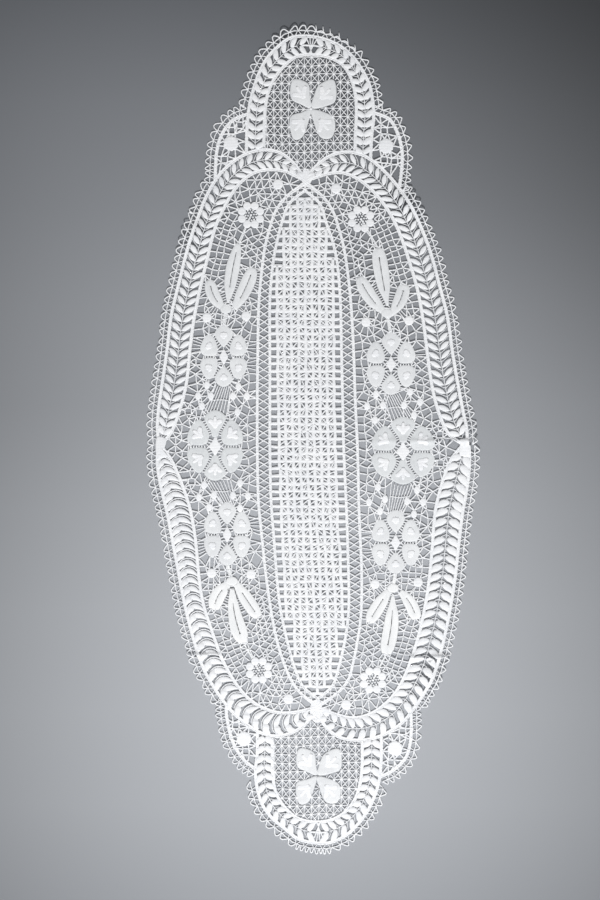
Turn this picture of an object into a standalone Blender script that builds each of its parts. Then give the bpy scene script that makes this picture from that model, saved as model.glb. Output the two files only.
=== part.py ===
"""Bobbin lace table runner: a pointed oval lace with scalloped ends, lying flat.

Run with: blender --background --python part.py
Units are metres in the model.  The tables below are in millimetres, x to the right
and y up the length of the runner, from the middle of its open-square centre.
Every piece is a flat plate of the real outline, 0.3 mm clear of its neighbours.
"""

import math

import bmesh
import bpy

COLLECTION = "bobbin_lace_runner"
MM = 0.001

# ---------------------------------------------------------------- driving dimensions, mm
GAP = 0.3  # clear distance between neighbouring pieces
TAPE_HALF = 1.5  # half width of the plaited tapes that edge the borders
LINE_HALF = 1.3  # half width of the double lines of the middle oval
PICOT_STEP = 7.3  # along the edge, from one picot to the next
PICOT_VALLEY = 7.0  # from the tape's middle to the head line between two picots
PICOT_TIP = 9.6  # from the tape's middle to a picot's tip
ARCH_PICOTS_FROM = 296.0  # |y| where the picots round an end begin
SCALLOP_CLEAR = 5.0  # along y, between the picots of a lobe and those of the side below it
EDGE_STEP = 2.0 * PICOT_STEP  # between the points that a tape is drawn with
OVAL_STEP = 17.0  # the same for the lines of the middle oval
NET_THICK = 1.2  # plaited net
EDGING_THICK = 1.2
BAND_THICK = 1.6  # borders with their leaf pairs
GRID_THICK = 1.5  # open-square cloth
MOTIF_THICK = 2.2  # raised petals and leaves
SPOT_THICK = 2.0
SPOT_RADIUS = 4.2
CROSSING_SPOT_RADIUS = 4.5
LOBE_SPOT_RADIUS = 6.5
ROSETTE_RADIUS = 11.2
ROSETTE_SCALLOP = 1.2
LEAF_HALF = 4.6
STEM_HALF = 1.6
LARGE_GAP_HALF = 2.8  # half size of a large gap between the plaits
OVAL_POINT = 1.5  # how much further than its sides an oval line grows at its pointed ends
OVAL_END_SHARE = 0.35  # a side net stops this share of a step short of an oval's point
END_NET_TIP = 5.0  # from a crossing to the tip of the end net
SIDE_PICOTS_FROM = 60.0  # |x| where a border's edge is free of the lobes
POINT_SPACING = 0.4  # closer points of an outline count as one
SPLINE_PARTS = 12  # straight parts to each stretch of a smooth line
SPOT_SIDES = 8
LOBE_SPOT_SIDES = 12
ROSETTE_SIDES = 16
SIX_PETAL_RAYS = 36
FOUR_PETAL_RAYS = 32
CUTTER_LOW = -4.0
CUTTER_TALL = 12.0
ROUGHNESS = 0.85

LACE_WHITE = (0.86, 0.87, 0.88)
CLOTH_WHITE = (0.90, 0.90, 0.90)

# ------------------------------------------------------- where the runner lies, x and y
CROSSING_TOP = (-6.0, 230.5)
CROSSING_BOTTOM = (4.0, -229.5)

# Each rounded end: the crossing below it and the two borders that meet there.
END_FIELDS = (
    ("top", CROSSING_TOP, ("ul", "ur")),
    ("bottom", CROSSING_BOTTOM, ("ll", "lr")),
)

# Each row is one section across a border band, from the crossing to the side knot:
# outer tape x, y, then inner tape x, y.
BORDERS = {
    "ul": (
        (-7.0, 232.5, -8.5, 230.5), (-13.5, 242.0, -18.5, 236.0), (-26.5, 253.0, -30.5, 238.5),
        (-45.5, 256.0, -43.0, 238.5), (-63.5, 249.0, -54.0, 234.0), (-79.0, 236.0, -65.0, 224.5),
        (-91.0, 217.0, -74.5, 209.0), (-100.0, 194.0, -84.0, 188.5), (-108.5, 168.0, -90.5, 163.0),
        (-115.5, 140.0, -97.0, 136.0), (-122.0, 112.5, -102.5, 108.5), (-125.5, 83.5, -106.0, 81.5),
        (-129.5, 56.0, -109.0, 53.0), (-133.0, 32.0, -115.5, 28.0), (-134.0, 12.5, -123.0, 9.5),
        (-132.5, 0.0, -130.0, 0.0),
    ),
    "ur": (
        (-4.5, 232.5, -3.0, 230.0), (3.5, 242.0, 8.5, 234.0), (17.0, 251.5, 20.5, 236.5),
        (37.0, 254.0, 31.5, 235.0), (54.0, 245.0, 42.5, 229.0), (68.0, 232.0, 54.0, 219.0),
        (81.5, 214.0, 65.5, 204.5), (93.0, 192.5, 75.5, 185.0), (103.0, 166.5, 84.0, 160.5),
        (110.5, 138.5, 91.5, 134.5), (117.5, 111.0, 96.5, 107.0), (121.5, 82.5, 100.0, 79.5),
        (126.0, 55.5, 104.0, 51.5), (130.5, 31.5, 110.5, 26.5), (134.0, 14.0, 119.5, 8.5),
        (134.5, 0.0, 129.5, 0.0),
    ),
    "ll": (
        (3.0, -231.5, 0.5, -228.0), (-4.5, -240.5, -10.5, -230.5), (-18.5, -249.5, -22.0, -232.5),
        (-38.0, -251.5, -33.5, -230.5), (-54.5, -243.0, -44.5, -226.5), (-69.0, -231.0, -56.5, -218.0),
        (-82.5, -213.5, -67.5, -204.0), (-94.5, -192.5, -78.0, -185.0), (-103.0, -167.0, -86.5, -161.5),
        (-110.0, -139.5, -94.5, -136.5), (-115.5, -111.5, -98.5, -109.5), (-120.5, -85.0, -101.0, -82.0),
        (-125.5, -59.0, -106.0, -54.0), (-131.0, -35.5, -114.0, -30.5), (-134.0, -17.5, -121.5, -13.5),
        (-133.5, 0.0, -130.5, 0.0),
    ),
    "lr": (
        (4.5, -232.0, 7.0, -228.5), (10.5, -242.5, 18.5, -232.5), (24.0, -253.0, 29.5, -235.5),
        (44.0, -255.5, 41.0, -236.0), (62.5, -250.5, 53.0, -231.5), (79.0, -239.5, 64.5, -223.0),
        (93.5, -220.5, 75.5, -209.5), (105.5, -199.0, 84.5, -189.5), (113.5, -171.5, 92.0, -166.0),
        (119.5, -143.0, 98.0, -139.5), (124.0, -115.0, 102.0, -112.0), (127.0, -87.0, 104.5, -84.5),
        (130.5, -59.0, 107.0, -56.0), (134.5, -36.0, 113.5, -30.5), (136.5, -17.0, 121.0, -11.5),
        (136.0, 0.0, 129.5, 0.0),
    ),
}

# The same for the arched borders of the two rounded ends, from the left foot to the right.
ARCHES = {
    "top": (
        (-57.0, 250.0, -42.0, 248.0), (-56.5, 271.0, -41.5, 270.5), (-54.5, 293.0, -40.5, 291.5),
        (-48.5, 315.5, -36.5, 311.0), (-41.0, 332.5, -28.5, 323.0), (-30.0, 345.0, -20.0, 333.0),
        (-15.0, 354.0, -10.5, 338.0), (2.5, 353.5, 1.0, 338.5), (18.0, 349.5, 13.5, 336.5),
        (32.0, 340.0, 24.0, 332.0), (42.0, 327.5, 32.0, 322.0), (50.0, 311.5, 37.0, 307.0),
        (53.5, 287.5, 38.5, 288.0), (51.5, 266.0, 37.5, 267.0), (50.5, 241.0, 37.5, 246.0),
    ),
    "bottom": (
        (-47.5, -239.0, -34.5, -244.0), (-47.5, -266.5, -34.5, -266.5), (-49.0, -285.5, -34.0, -286.0),
        (-45.0, -307.0, -31.0, -301.5), (-35.5, -322.0, -24.5, -312.5), (-25.0, -331.0, -16.5, -321.0),
        (-13.0, -340.5, -7.0, -325.0), (2.0, -344.5, 3.5, -326.5), (17.0, -344.0, 13.5, -325.5),
        (31.5, -336.5, 22.0, -322.5), (42.0, -325.5, 30.5, -316.0), (51.0, -311.5, 38.0, -305.0),
        (58.0, -291.5, 42.5, -288.5), (60.0, -271.0, 43.5, -271.0), (60.0, -246.0, 43.5, -248.0),
    ),
}

# Outer tape of each shoulder lobe, from the arch to the border, and two points inside the
# border and the arch that close the lobe's net behind them.
LOBES = {
    "ul": {
        "tape": ((-55.0, 287.5), (-62.5, 285.0), (-69.5, 281.0), (-74.5, 275.0), (-79.0, 268.0),
                 (-81.5, 260.0), (-83.0, 251.5), (-83.5, 243.0), (-84.0, 226.0)),
        "behind": ((-78.0, 226.0), (-52.0, 247.0)),
        "spot": (-70.2, 261.4),
        "gaps": ((-62.4, 277.2), (-69.5, 272.5), (-76.0, 247.5)),
    },
    "ur": {
        "tape": ((53.5, 288.5), (63.5, 285.0), (69.5, 280.0), (73.5, 272.0), (76.5, 263.5),
                 (78.0, 255.0), (78.5, 246.0), (77.5, 237.5), (75.5, 222.0)),
        "behind": ((71.0, 222.0), (47.0, 243.0)),
        "spot": (64.2, 259.2),
        "gaps": ((62.5, 272.5), (71.5, 246.0), (62.5, 247.2)),
    },
    "ll": {
        "tape": ((-74.5, -221.0), (-74.0, -234.0), (-72.5, -243.0), (-71.0, -249.5), (-68.5, -257.5),
                 (-65.0, -264.5), (-60.0, -271.5), (-54.5, -276.5), (-48.0, -281.5)),
        "behind": ((-43.0, -278.0), (-43.0, -242.0)),
        "spot": (-59.0, -254.5),
        "gaps": ((-66.0, -243.0), (-57.3, -265.7)),
    },
    "lr": {
        "tape": ((85.5, -225.0), (86.0, -240.0), (86.0, -250.0), (85.0, -259.0), (82.5, -268.5),
                 (77.0, -276.0), (70.0, -282.0), (64.0, -285.5), (57.0, -288.5)),
        "behind": ((52.0, -284.0), (52.0, -248.0)),
        "spot": (72.0, -262.7),
        "gaps": ((78.5, -248.0), (68.5, -275.5)),
    },
}

# The middle oval: at each y, x of the outer line, the inner line, the inner line, the outer line.
OVAL = (
    (213.0, -26.0, -17.0, 4.5, 13.0), (204.0, -31.0, -22.0, 8.5, 17.5), (195.0, -34.5, -25.5, 11.5, 21.0),
    (178.0, -39.5, -30.0, 17.5, 26.0), (160.0, -42.5, -33.5, 21.5, 29.5), (126.0, -46.0, -36.5, 24.5, 33.5),
    (83.0, -47.0, -36.5, 25.5, 36.0), (39.0, -47.5, -36.5, 26.5, 37.5), (-4.5, -47.5, -36.5, 27.5, 39.5),
    (-48.0, -46.5, -35.5, 29.5, 40.5), (-74.0, -44.0, -33.5, 30.5, 41.5), (-108.0, -40.5, -31.0, 31.5, 43.0),
    (-134.0, -37.0, -28.5, 32.0, 43.0), (-152.0, -34.0, -25.5, 31.0, 42.0), (-169.0, -30.5, -21.5, 28.5, 39.5),
    (-187.0, -25.0, -17.0, 24.5, 36.0), (-204.0, -18.0, -10.5, 19.5, 31.0), (-213.0, -12.5, -4.5, 14.5, 25.0),
)
OVAL_TOP = (-6.0, 226.0, 220.5)  # x, then y of the outer and the inner line's point
OVAL_BOTTOM = (5.0, -225.0, -219.5)
OUTER_LINE = (1, 4, 1)  # columns of OVAL left and right, then the column of its end points
INNER_LINE = (2, 3, 2)

# Six-petalled flowers: middle x, y, then whole width and height.
FLOWERS = {
    "flower_large_left": (-84.0, -1.0, 49.5, 62.5),
    "flower_large_right": (79.0, -5.5, 55.5, 60.0),
    "flower_small_ul": (-76.5, 76.5, 41.5, 54.5),
    "flower_small_ur": (68.5, 70.0, 43.5, 55.5),
    "flower_small_ll": (-73.5, -77.5, 41.0, 56.5),
    "flower_small_lr": (72.5, -84.5, 42.5, 56.5),
}
# Petals of such a flower: middle and half size, as shares of the half width and half height.
SIX_PETALS = (
    (0.0, 0.66, 0.40, 0.34), (0.63, 0.37, 0.37, 0.33), (0.63, -0.37, 0.37, 0.34),
    (0.0, -0.67, 0.40, 0.33), (-0.63, -0.37, 0.37, 0.34), (-0.63, 0.37, 0.37, 0.33),
)
SIX_CORE = 0.34

# Four-petalled flowers of the rounded ends, in the same columns.
CROSSES = {
    "flower_end_top": (-0.5, 291.5, 42.5, 51.5),
    "flower_end_bottom": (4.5, -286.5, 42.0, 48.0),
}
FOUR_PETALS = (
    (0.53, 0.54, 0.47, 0.46), (0.53, -0.54, 0.47, 0.46), (-0.53, -0.54, 0.47, 0.46), (-0.53, 0.54, 0.47, 0.46),
)
FOUR_CORE = 0.30

# Leaf trios: where the stems meet, then the tips of the three leaves in turn.
TRIOS = {
    "leaves_ul": ((-72.0, 117.5), (-87.5, 142.0), (-64.5, 175.5), (-48.5, 151.5)),
    "leaves_ur": ((66.0, 114.0), (40.0, 145.5), (56.0, 168.5), (82.5, 138.0)),
    "leaves_ll": ((-70.5, -124.0), (-46.0, -146.5), (-58.0, -171.0), (-86.0, -141.5)),
    "leaves_lr": ((72.5, -125.0), (91.0, -149.0), (64.5, -179.5), (47.5, -153.5)),
}
ROSETTES = {
    "rosette_ul": (-52.9, 199.4), "rosette_ur": (42.5, 195.9),
    "rosette_ll": (-46.0, -195.1), "rosette_lr": (52.9, -203.7),
}
SPOTS = {
    "spot_outer_ul": (-91.0, 110.5), "spot_inner_ul": (-57.2, 111.8),
    "spot_outer_ur": (84.1, 107.9), "spot_inner_ur": (46.8, 106.6),
    "spot_outer_ll": (-87.1, -111.0), "spot_inner_ll": (-52.9, -111.8),
    "spot_outer_lr": (91.9, -118.8), "spot_inner_lr": (54.6, -120.5),
}
CROSSING_SPOTS = {
    "spot_crossing_ul": (-29.5, 226.0), "spot_crossing_ur": (20.8, 222.4),
    "spot_crossing_ll": (-20.4, -220.0), "spot_crossing_lr": (29.5, -225.0),
}

# Largest gaps of the side nets, beside the side knots.
NET_GAPS = {
    "l": ((-107.2, 29.3), (-104.2, -31.6)),
    "r": ((110.7, 9.2), (111.3, -15.6)),
}

# Where along a leaf its half width is which share of LEAF_HALF, one side after the other.
LEAF_SIDES = ((0.30, 0.55), (0.55, 1.0), (0.82, 0.70), (1.0, 0.0), (0.82, -0.70), (0.55, -1.0), (0.30, -0.55))
OUTER_LEAF = 0.95  # the two outer leaves, against the middle one
LEAF_NOTCH = 0.12  # how far up from the base the leaves part

# Picots of one step of a tape: share of the step, then reach from the tape's middle.
PICOTS = ((0.0, PICOT_VALLEY), (0.25, PICOT_TIP), (0.5, PICOT_VALLEY), (0.75, PICOT_TIP))

# Edges that do not lie quite flat: x, y, reach and height of each raised place.
RAISED = (
    (-19.0, 357.0, 24.0, 2.5), (-112.0, 186.0, 24.0, 3.0), (91.0, 213.0, 24.0, 3.0),
    (144.0, 8.0, 18.0, 3.0), (104.0, -200.0, 24.0, 2.5),
)


# ------------------------------------------------------------------------ plane geometry
def smooth(points, step):
    """Even points, about `step` apart, on the smooth curve through `points`."""
    padded = [points[0], *points, points[-1]]
    fine = []
    for a, b, c, d in zip(padded, padded[1:], padded[2:], padded[3:]):
        for k in range(SPLINE_PARTS):
            t = k / SPLINE_PARTS
            fine.append(tuple(
                0.5 * (2.0 * q + (r - p) * t + (2.0 * p - 5.0 * q + 4.0 * r - s) * t * t
                       + (3.0 * q - p - 3.0 * r + s) * t ** 3)
                for p, q, r, s in zip(a, b, c, d)))
    fine.append(points[-1])
    return evenly(fine, step)


def evenly(line, step):
    """The polyline's points moved to even distances along it."""
    lengths = [math.dist(a, b) for a, b in zip(line, line[1:])]
    total = sum(lengths)
    count = max(2, round(total / step))
    result = [line[0]]
    walked = 0.0
    for start, end, length in zip(line, line[1:], lengths):
        while len(result) < count and walked + length >= total * len(result) / count:
            share = (total * len(result) / count - walked) / length
            result.append(tuple(p + (q - p) * share for p, q in zip(start, end)))
        walked += length
    result.append(line[-1])
    return result


def between(a, b, share):
    """The point at this share of the way from a to b."""
    return tuple(p + (q - p) * share for p, q in zip(a, b))


def normals(line):
    """Unit vectors to the left of each point of an open line."""
    result = []
    for k in range(len(line)):
        a = line[max(k - 1, 0)]
        b = line[min(k + 1, len(line) - 1)]
        length = math.dist(a, b)
        result.append(((a[1] - b[1]) / length, (b[0] - a[0]) / length))
    return result


def shifted(line, distance):
    """An open line moved sideways, to its left where the distance is positive."""
    return [(p[0] + n[0] * distance, p[1] + n[1] * distance) for p, n in zip(line, normals(line))]


def area(loop):
    return 0.5 * sum(a[0] * b[1] - b[0] * a[1] for a, b in zip(loop, loop[1:] + loop[:1]))


def tidy(loop):
    """A closed loop without its repeated points."""
    result = []
    for point in loop:
        if not result or math.dist(point, result[-1]) > POINT_SPACING:
            result.append(point)
    if math.dist(result[0], result[-1]) <= POINT_SPACING:
        result.pop()
    return result


def grown(loop, distance):
    """A closed loop moved outwards."""
    turn = 1.0 if area(loop) > 0.0 else -1.0
    result = []
    for a, b, c in zip(loop[-1:] + loop[:-1], loop, loop[1:] + loop[:1]):
        first = math.atan2(b[1] - a[1], b[0] - a[0])
        second = math.atan2(c[1] - b[1], c[0] - b[0])
        half = 0.5 * ((second - first + math.pi) % (2.0 * math.pi) - math.pi)
        reach = distance / max(math.cos(half), 0.5)
        angle = first + half - turn * 0.5 * math.pi
        result.append((b[0] + reach * math.cos(angle), b[1] + reach * math.sin(angle)))
    return result


def polygon(x, y, radius, sides, turn=0.0):
    return [(x + radius * math.cos(turn + 2.0 * math.pi * k / sides),
             y + radius * math.sin(turn + 2.0 * math.pi * k / sides)) for k in range(sides)]


def large_gap(x, y):
    """Square hole of one of the largest gaps between plaits."""
    return polygon(x, y, math.sqrt(2.0) * LARGE_GAP_HALF, 4, 0.25 * math.pi)


def limited(loop, low_x=-math.inf, high_x=math.inf, low_y=-math.inf, high_y=math.inf):
    """A loop with its points kept between two x and two y."""
    return [(min(max(x, low_x), high_x), min(max(y, low_y), high_y)) for x, y in loop]


# ------------------------------------------------------------------------------ outlines
def tapes(rows, step=EDGE_STEP):
    """Outer and inner tape of a band, as smooth lines with even points."""
    outer = smooth([(row[0], row[1]) for row in rows], step)
    inner = smooth([(row[2], row[3]) for row in rows], step)
    return outer, inner


def away(corner):
    """+1 where the outside of this quarter's border is on the left of its tapes."""
    return -1.0 if corner in ("ul", "lr") else 1.0


def quarter(corner, loop, clear):
    """Keeps a loop on its own side of the crossing and of the side knot."""
    crossing = CROSSING_TOP if corner[0] == "u" else CROSSING_BOTTOM
    limits = {}
    limits["high_x" if corner[1] == "l" else "low_x"] = crossing[0] + (-clear if corner[1] == "l" else clear)
    limits["low_y" if corner[0] == "u" else "high_y"] = clear if corner[0] == "u" else -clear
    return tidy(limited(loop, **limits))


def border_outline(corner):
    outer, inner = tapes(BORDERS[corner])
    side = away(corner)
    loop = shifted(outer, side * TAPE_HALF) + shifted(inner, -side * TAPE_HALF)[::-1]
    return quarter(corner, loop, 0.5 * GAP)


def arch_outline(end):
    """The arch runs left to right: its outside is on the left at the top."""
    outer, inner = tapes(ARCHES[end])
    side = 1.0 if end == "top" else -1.0
    return tidy(shifted(outer, side * TAPE_HALF) + shifted(inner, -side * TAPE_HALF)[::-1])


def oval_side(columns, side, outwards):
    """One side of the middle oval, top to bottom, through one of the table's columns."""
    column = columns[0] if side == "l" else columns[1]
    end = columns[2]
    points = [(OVAL_TOP[0], OVAL_TOP[end])] + [(row[column], row[0]) for row in OVAL]
    points.append((OVAL_BOTTOM[0], OVAL_BOTTOM[end]))
    line = shifted(smooth(points, OVAL_STEP), -outwards if side == "l" else outwards)
    line[0] = (OVAL_TOP[0], OVAL_TOP[end] + OVAL_POINT * outwards)
    line[-1] = (OVAL_BOTTOM[0], OVAL_BOTTOM[end] - OVAL_POINT * outwards)
    return line


def oval(columns, outwards):
    return oval_side(columns, "l", outwards) + oval_side(columns, "r", outwards)[-2:0:-1]


def picot_outline(tape, side):
    """Strip along a tape: its head line with two picots to each step of the tape."""
    near = shifted(tape, side * (TAPE_HALF + GAP))
    facing = normals(tape)
    far = []
    for (a, n), (b, m) in zip(zip(tape, facing), zip(tape[1:], facing[1:])):
        for share, reach in PICOTS:
            far.append(tuple(
                p + (q - p) * share + side * reach * (u + (v - u) * share)
                for p, q, u, v in zip(a, b, n, m)))
    far.append(tuple(p + side * PICOT_VALLEY * u for p, u in zip(tape[-1], facing[-1])))
    return near + far[::-1]


def petal_outline(flower, petals, core, samples):
    """Petals that grow together round a core, seen as one outline from its middle."""
    x, y, width, height = flower
    half_x, half_y = 0.5 * width, 0.5 * height
    shapes = [(half_x * p[0], half_y * p[1], half_x * p[2], half_y * p[3]) for p in petals]
    shapes.append((0.0, 0.0, half_x * core, half_y * core))
    loop = []
    for k in range(samples):
        angle = 2.0 * math.pi * k / samples
        direction = (math.cos(angle), math.sin(angle))
        reach = max(ellipse_reach(shape, direction) for shape in shapes)
        loop.append((x + reach * direction[0], y + reach * direction[1]))
    return loop


def ellipse_reach(shape, direction):
    """How far a ray from the middle runs until it leaves one petal for good."""
    x, y, half_x, half_y = shape
    a = (direction[0] / half_x) ** 2 + (direction[1] / half_y) ** 2
    b = direction[0] * x / half_x ** 2 + direction[1] * y / half_y ** 2
    c = (x / half_x) ** 2 + (y / half_y) ** 2 - 1.0
    inside = b * b - a * c
    return (b + math.sqrt(inside)) / a if inside > 0.0 else 0.0


def trio_outline(base, tips):
    """Three long leaves from one stem, with a notch between neighbours."""
    loop = []
    for number, tip in enumerate(tips):
        along = (tip[0] - base[0], tip[1] - base[1])
        length = math.hypot(*along)
        across = (-along[1] / length, along[0] / length)
        wide = LEAF_HALF if number == 1 else LEAF_HALF * OUTER_LEAF
        for share, width in LEAF_SIDES:
            loop.append(tuple(o + share * a + wide * width * c for o, a, c in zip(base, along, across)))
        if number < 2:
            following = tips[number + 1]
            loop.append(between(base, between(tip, following, 0.5), LEAF_NOTCH))
    foot = STEM_HALF if tips[0][1] > base[1] else -STEM_HALF
    loop += [(base[0] + foot, base[1] - 0.8 * foot), (base[0] - foot, base[1] - 0.8 * foot)]
    return loop


def rosette_outline(x, y):
    loop = []
    for k in range(ROSETTE_SIDES):
        radius = ROSETTE_RADIUS + (ROSETTE_SCALLOP if k % 2 else 0.0)
        angle = 2.0 * math.pi * k / ROSETTE_SIDES
        loop.append((x + radius * math.cos(angle), y + radius * math.sin(angle)))
    return loop


# --------------------------------------------------------------------------------- solids
def material(name, colour):
    made = bpy.data.materials.new(name)
    made.use_nodes = True
    shader = made.node_tree.nodes["Principled BSDF"]
    shader.inputs["Base Color"].default_value = (*colour, 1.0)
    shader.inputs["Roughness"].default_value = ROUGHNESS
    shader.inputs["Metallic"].default_value = 0.0
    return made


def plate(name, loops, thickness, low=0.0):
    """A flat plate of one outline and its holes, as a welded mesh, underside at `low`."""
    curve = bpy.data.curves.new(name, "CURVE")
    curve.dimensions = "2D"
    curve.fill_mode = "BOTH"
    curve.extrude = 0.5 * thickness * MM
    for loop in loops:
        spline = curve.splines.new("POLY")
        spline.points.add(len(loop) - 1)
        for point, (x, y) in zip(spline.points, loop):
            point.co = (x * MM, y * MM, 0.0, 1.0)
        spline.use_cyclic_u = True
    drawn = bpy.data.objects.new(name, curve)
    bpy.context.scene.collection.objects.link(drawn)
    bpy.context.view_layer.update()
    mesh = bpy.data.meshes.new_from_object(drawn.evaluated_get(bpy.context.evaluated_depsgraph_get()))
    bpy.data.objects.remove(drawn)
    mesh.name = name
    for vertex in mesh.vertices:
        vertex.co.z += (low + 0.5 * thickness) * MM
    return weld(mesh)


def weld(mesh):
    work = bmesh.new()
    work.from_mesh(mesh)
    bmesh.ops.remove_doubles(work, verts=work.verts, dist=1e-5)
    bmesh.ops.recalc_face_normals(work, faces=work.faces)
    work.to_mesh(mesh)
    work.free()
    return mesh


def rise(x, y):
    """Height of the cloth above the table at a place."""
    height = 0.0
    for spot_x, spot_y, reach, lift in RAISED:
        away_from = math.hypot(x - spot_x, y - spot_y) / reach
        if away_from < 1.0:
            height += lift * math.cos(0.5 * math.pi * away_from) ** 2
    return height


def add(name, loops, thickness, colour, cutters=()):
    """Makes one piece: its plate, less the neighbours it must clear, on the uneven cloth."""
    piece = bpy.data.objects.new(name, plate(name, loops, thickness))
    bpy.data.collections[COLLECTION].objects.link(piece)
    for number, loop in enumerate(cutters):
        block = plate(name, [grown(loop, GAP)], CUTTER_TALL, CUTTER_LOW)
        tool = bpy.data.objects.new(f"clear_{name}_{number}", block)
        bpy.data.collections["cutters"].objects.link(tool)
        tool.hide_render = True
        tool.display_type = "WIRE"
        cut = piece.modifiers.new(f"clear {number}", "BOOLEAN")
        cut.operation = "DIFFERENCE"
        cut.object = tool
    bpy.context.view_layer.update()
    shaped = bpy.data.meshes.new_from_object(piece.evaluated_get(bpy.context.evaluated_depsgraph_get()))
    piece.modifiers.clear()
    for vertex in shaped.vertices:
        vertex.co.z += rise(vertex.co.x / MM, vertex.co.y / MM) * MM
    piece.data = shaped
    shaped.materials.clear()
    shaped.materials.append(material(f"{name}_thread", colour))
    return piece


# ----------------------------------------------------------------------------- sub-parts
def add_centre():
    add("centre_grid", [oval(INNER_LINE, LINE_HALF)], GRID_THICK, CLOTH_WHITE)
    add("centre_band", [oval(OUTER_LINE, LINE_HALF), oval(INNER_LINE, LINE_HALF + GAP)], NET_THICK, LACE_WHITE)


def add_borders():
    for corner in BORDERS:
        add(f"border_{corner}", [border_outline(corner)], BAND_THICK, LACE_WHITE)
    for end, _, corners in END_FIELDS:
        add(f"arch_{end}", [arch_outline(end)], BAND_THICK, LACE_WHITE,
            [border_outline(corner) for corner in corners])


def add_end_fields():
    """Star net inside each arch, down to the crossing, round its four-petalled flower."""
    for end, crossing, corners in END_FIELDS:
        side = 1.0 if end == "top" else -1.0
        inner = tapes(ARCHES[end])[1]
        net = shifted(inner, -side * (TAPE_HALF + GAP)) + [(crossing[0], crossing[1] + END_NET_TIP * side)]
        flower = petal_outline(CROSSES[f"flower_end_{end}"], FOUR_PETALS, FOUR_CORE, FOUR_PETAL_RAYS)
        add(f"net_end_{end}", [net, grown(flower, GAP)], NET_THICK, LACE_WHITE,
            [border_outline(corner) for corner in corners])
        add(f"flower_end_{end}", [flower], MOTIF_THICK, CLOTH_WHITE)


def add_lobes():
    """Shoulder lobes: a tape round a net with a woven spot and its large gaps."""
    for corner, lobe in LOBES.items():
        end = "top" if corner[0] == "u" else "bottom"
        side = 1.0 if corner[1] == "r" else -1.0
        tape = smooth(lobe["tape"], EDGE_STEP)
        x, y = lobe["spot"]
        loops = [shifted(tape, side * TAPE_HALF) + list(lobe["behind"])]
        loops.append(polygon(x, y, LOBE_SPOT_RADIUS + GAP, LOBE_SPOT_SIDES))
        for gap_x, gap_y in lobe["gaps"]:
            loops.append(large_gap(gap_x, gap_y))
        add(f"lobe_{corner}", loops, NET_THICK, LACE_WHITE, [arch_outline(end), border_outline(corner)])
        disc = polygon(x, y, LOBE_SPOT_RADIUS, LOBE_SPOT_SIDES)
        add(f"spot_lobe_{corner}", [disc], SPOT_THICK, CLOTH_WHITE)


def side_net(side):
    """Net between the borders and the middle oval of one side, down from the top crossing."""
    upper, lower = "u" + side, "l" + side
    loops = []
    for corner in (upper, lower):
        inner = tapes(BORDERS[corner])[1]
        edge = shifted(inner, -away(corner) * (TAPE_HALF + GAP))[1:]
        loops.append(limited(edge, low_y=0.0) if corner == upper else limited(edge, high_y=0.0))
    line = oval_side(OUTER_LINE, side, LINE_HALF + GAP)
    line[0] = between(line[0], line[1], OVAL_END_SHARE)
    line[-1] = between(line[-1], line[-2], OVAL_END_SHARE)
    return tidy(loops[0] + loops[1][::-1] + line[::-1])


def add_side_nets():
    motifs = {}
    for name, size in FLOWERS.items():
        motifs[name] = (petal_outline(size, SIX_PETALS, SIX_CORE, SIX_PETAL_RAYS), MOTIF_THICK)
    for name, (base, *tips) in TRIOS.items():
        motifs[name] = (trio_outline(base, tips), MOTIF_THICK)
    for name, (x, y) in ROSETTES.items():
        motifs[name] = (rosette_outline(x, y), SPOT_THICK)
    for name, (x, y) in SPOTS.items():
        motifs[name] = (polygon(x, y, SPOT_RADIUS, SPOT_SIDES), SPOT_THICK)
    for name, (x, y) in CROSSING_SPOTS.items():
        motifs[name] = (polygon(x, y, CROSSING_SPOT_RADIUS, SPOT_SIDES), SPOT_THICK)
    for side, net in (("l", "net_left"), ("r", "net_right")):
        near = [loop for loop, _ in motifs.values() if (loop[0][0] < 0.0) == (side == "l")]
        holes = [grown(loop, GAP) for loop in near] + [large_gap(x, y) for x, y in NET_GAPS[side]]
        add(net, [side_net(side)] + holes, NET_THICK, LACE_WHITE)
    for name, (loop, thickness) in motifs.items():
        add(name, [loop], thickness, CLOTH_WHITE)


def lobe_edge(corner):
    """The part of a lobe's tape that carries picots, clear of the arch and the border."""
    tape = smooth(LOBES[corner]["tape"], EDGE_STEP)
    return [between(tape[0], tape[1], 0.5)] + tape[1:-1] + [between(tape[-2], tape[-1], 0.5)]


def add_picots():
    """Edging outside every outer tape, in strips that end where two scallops meet."""
    for corner in BORDERS:
        outer = tapes(BORDERS[corner])[0]
        highest = min(abs(p[1]) for p in lobe_edge(corner)) - SCALLOP_CLEAR
        outside = [k for k, p in enumerate(outer) if abs(p[0]) > SIDE_PICOTS_FROM and abs(p[1]) < highest]
        middle = between(outer[outside[0] - 1], outer[outside[0]], 0.5)
        free = [middle] if abs(middle[1]) < highest else []
        free += [outer[k] for k in outside]
        strip = picot_outline(free, away(corner))
        add(f"picots_side_{corner}", [quarter(corner, strip, 0.5 * GAP)], EDGING_THICK, LACE_WHITE)
    for corner in LOBES:
        strip = picot_outline(lobe_edge(corner), 1.0 if corner[1] == "r" else -1.0)
        add(f"picots_lobe_{corner}", [strip], EDGING_THICK, LACE_WHITE)
    for end in ARCHES:
        outer = tapes(ARCHES[end])[0]
        side = 1.0 if end == "top" else -1.0
        free = [p for p in outer if abs(p[1]) > ARCH_PICOTS_FROM]
        add(f"picots_{end}", [picot_outline(free, side)], EDGING_THICK, LACE_WHITE)


def main():
    for thing in list(bpy.data.objects):
        bpy.data.objects.remove(thing)
    for name in (COLLECTION, "cutters"):
        collection = bpy.data.collections.new(name)
        bpy.context.scene.collection.children.link(collection)
    add_centre()
    add_borders()
    add_end_fields()
    add_lobes()
    add_side_nets()
    add_picots()


main()
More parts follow.
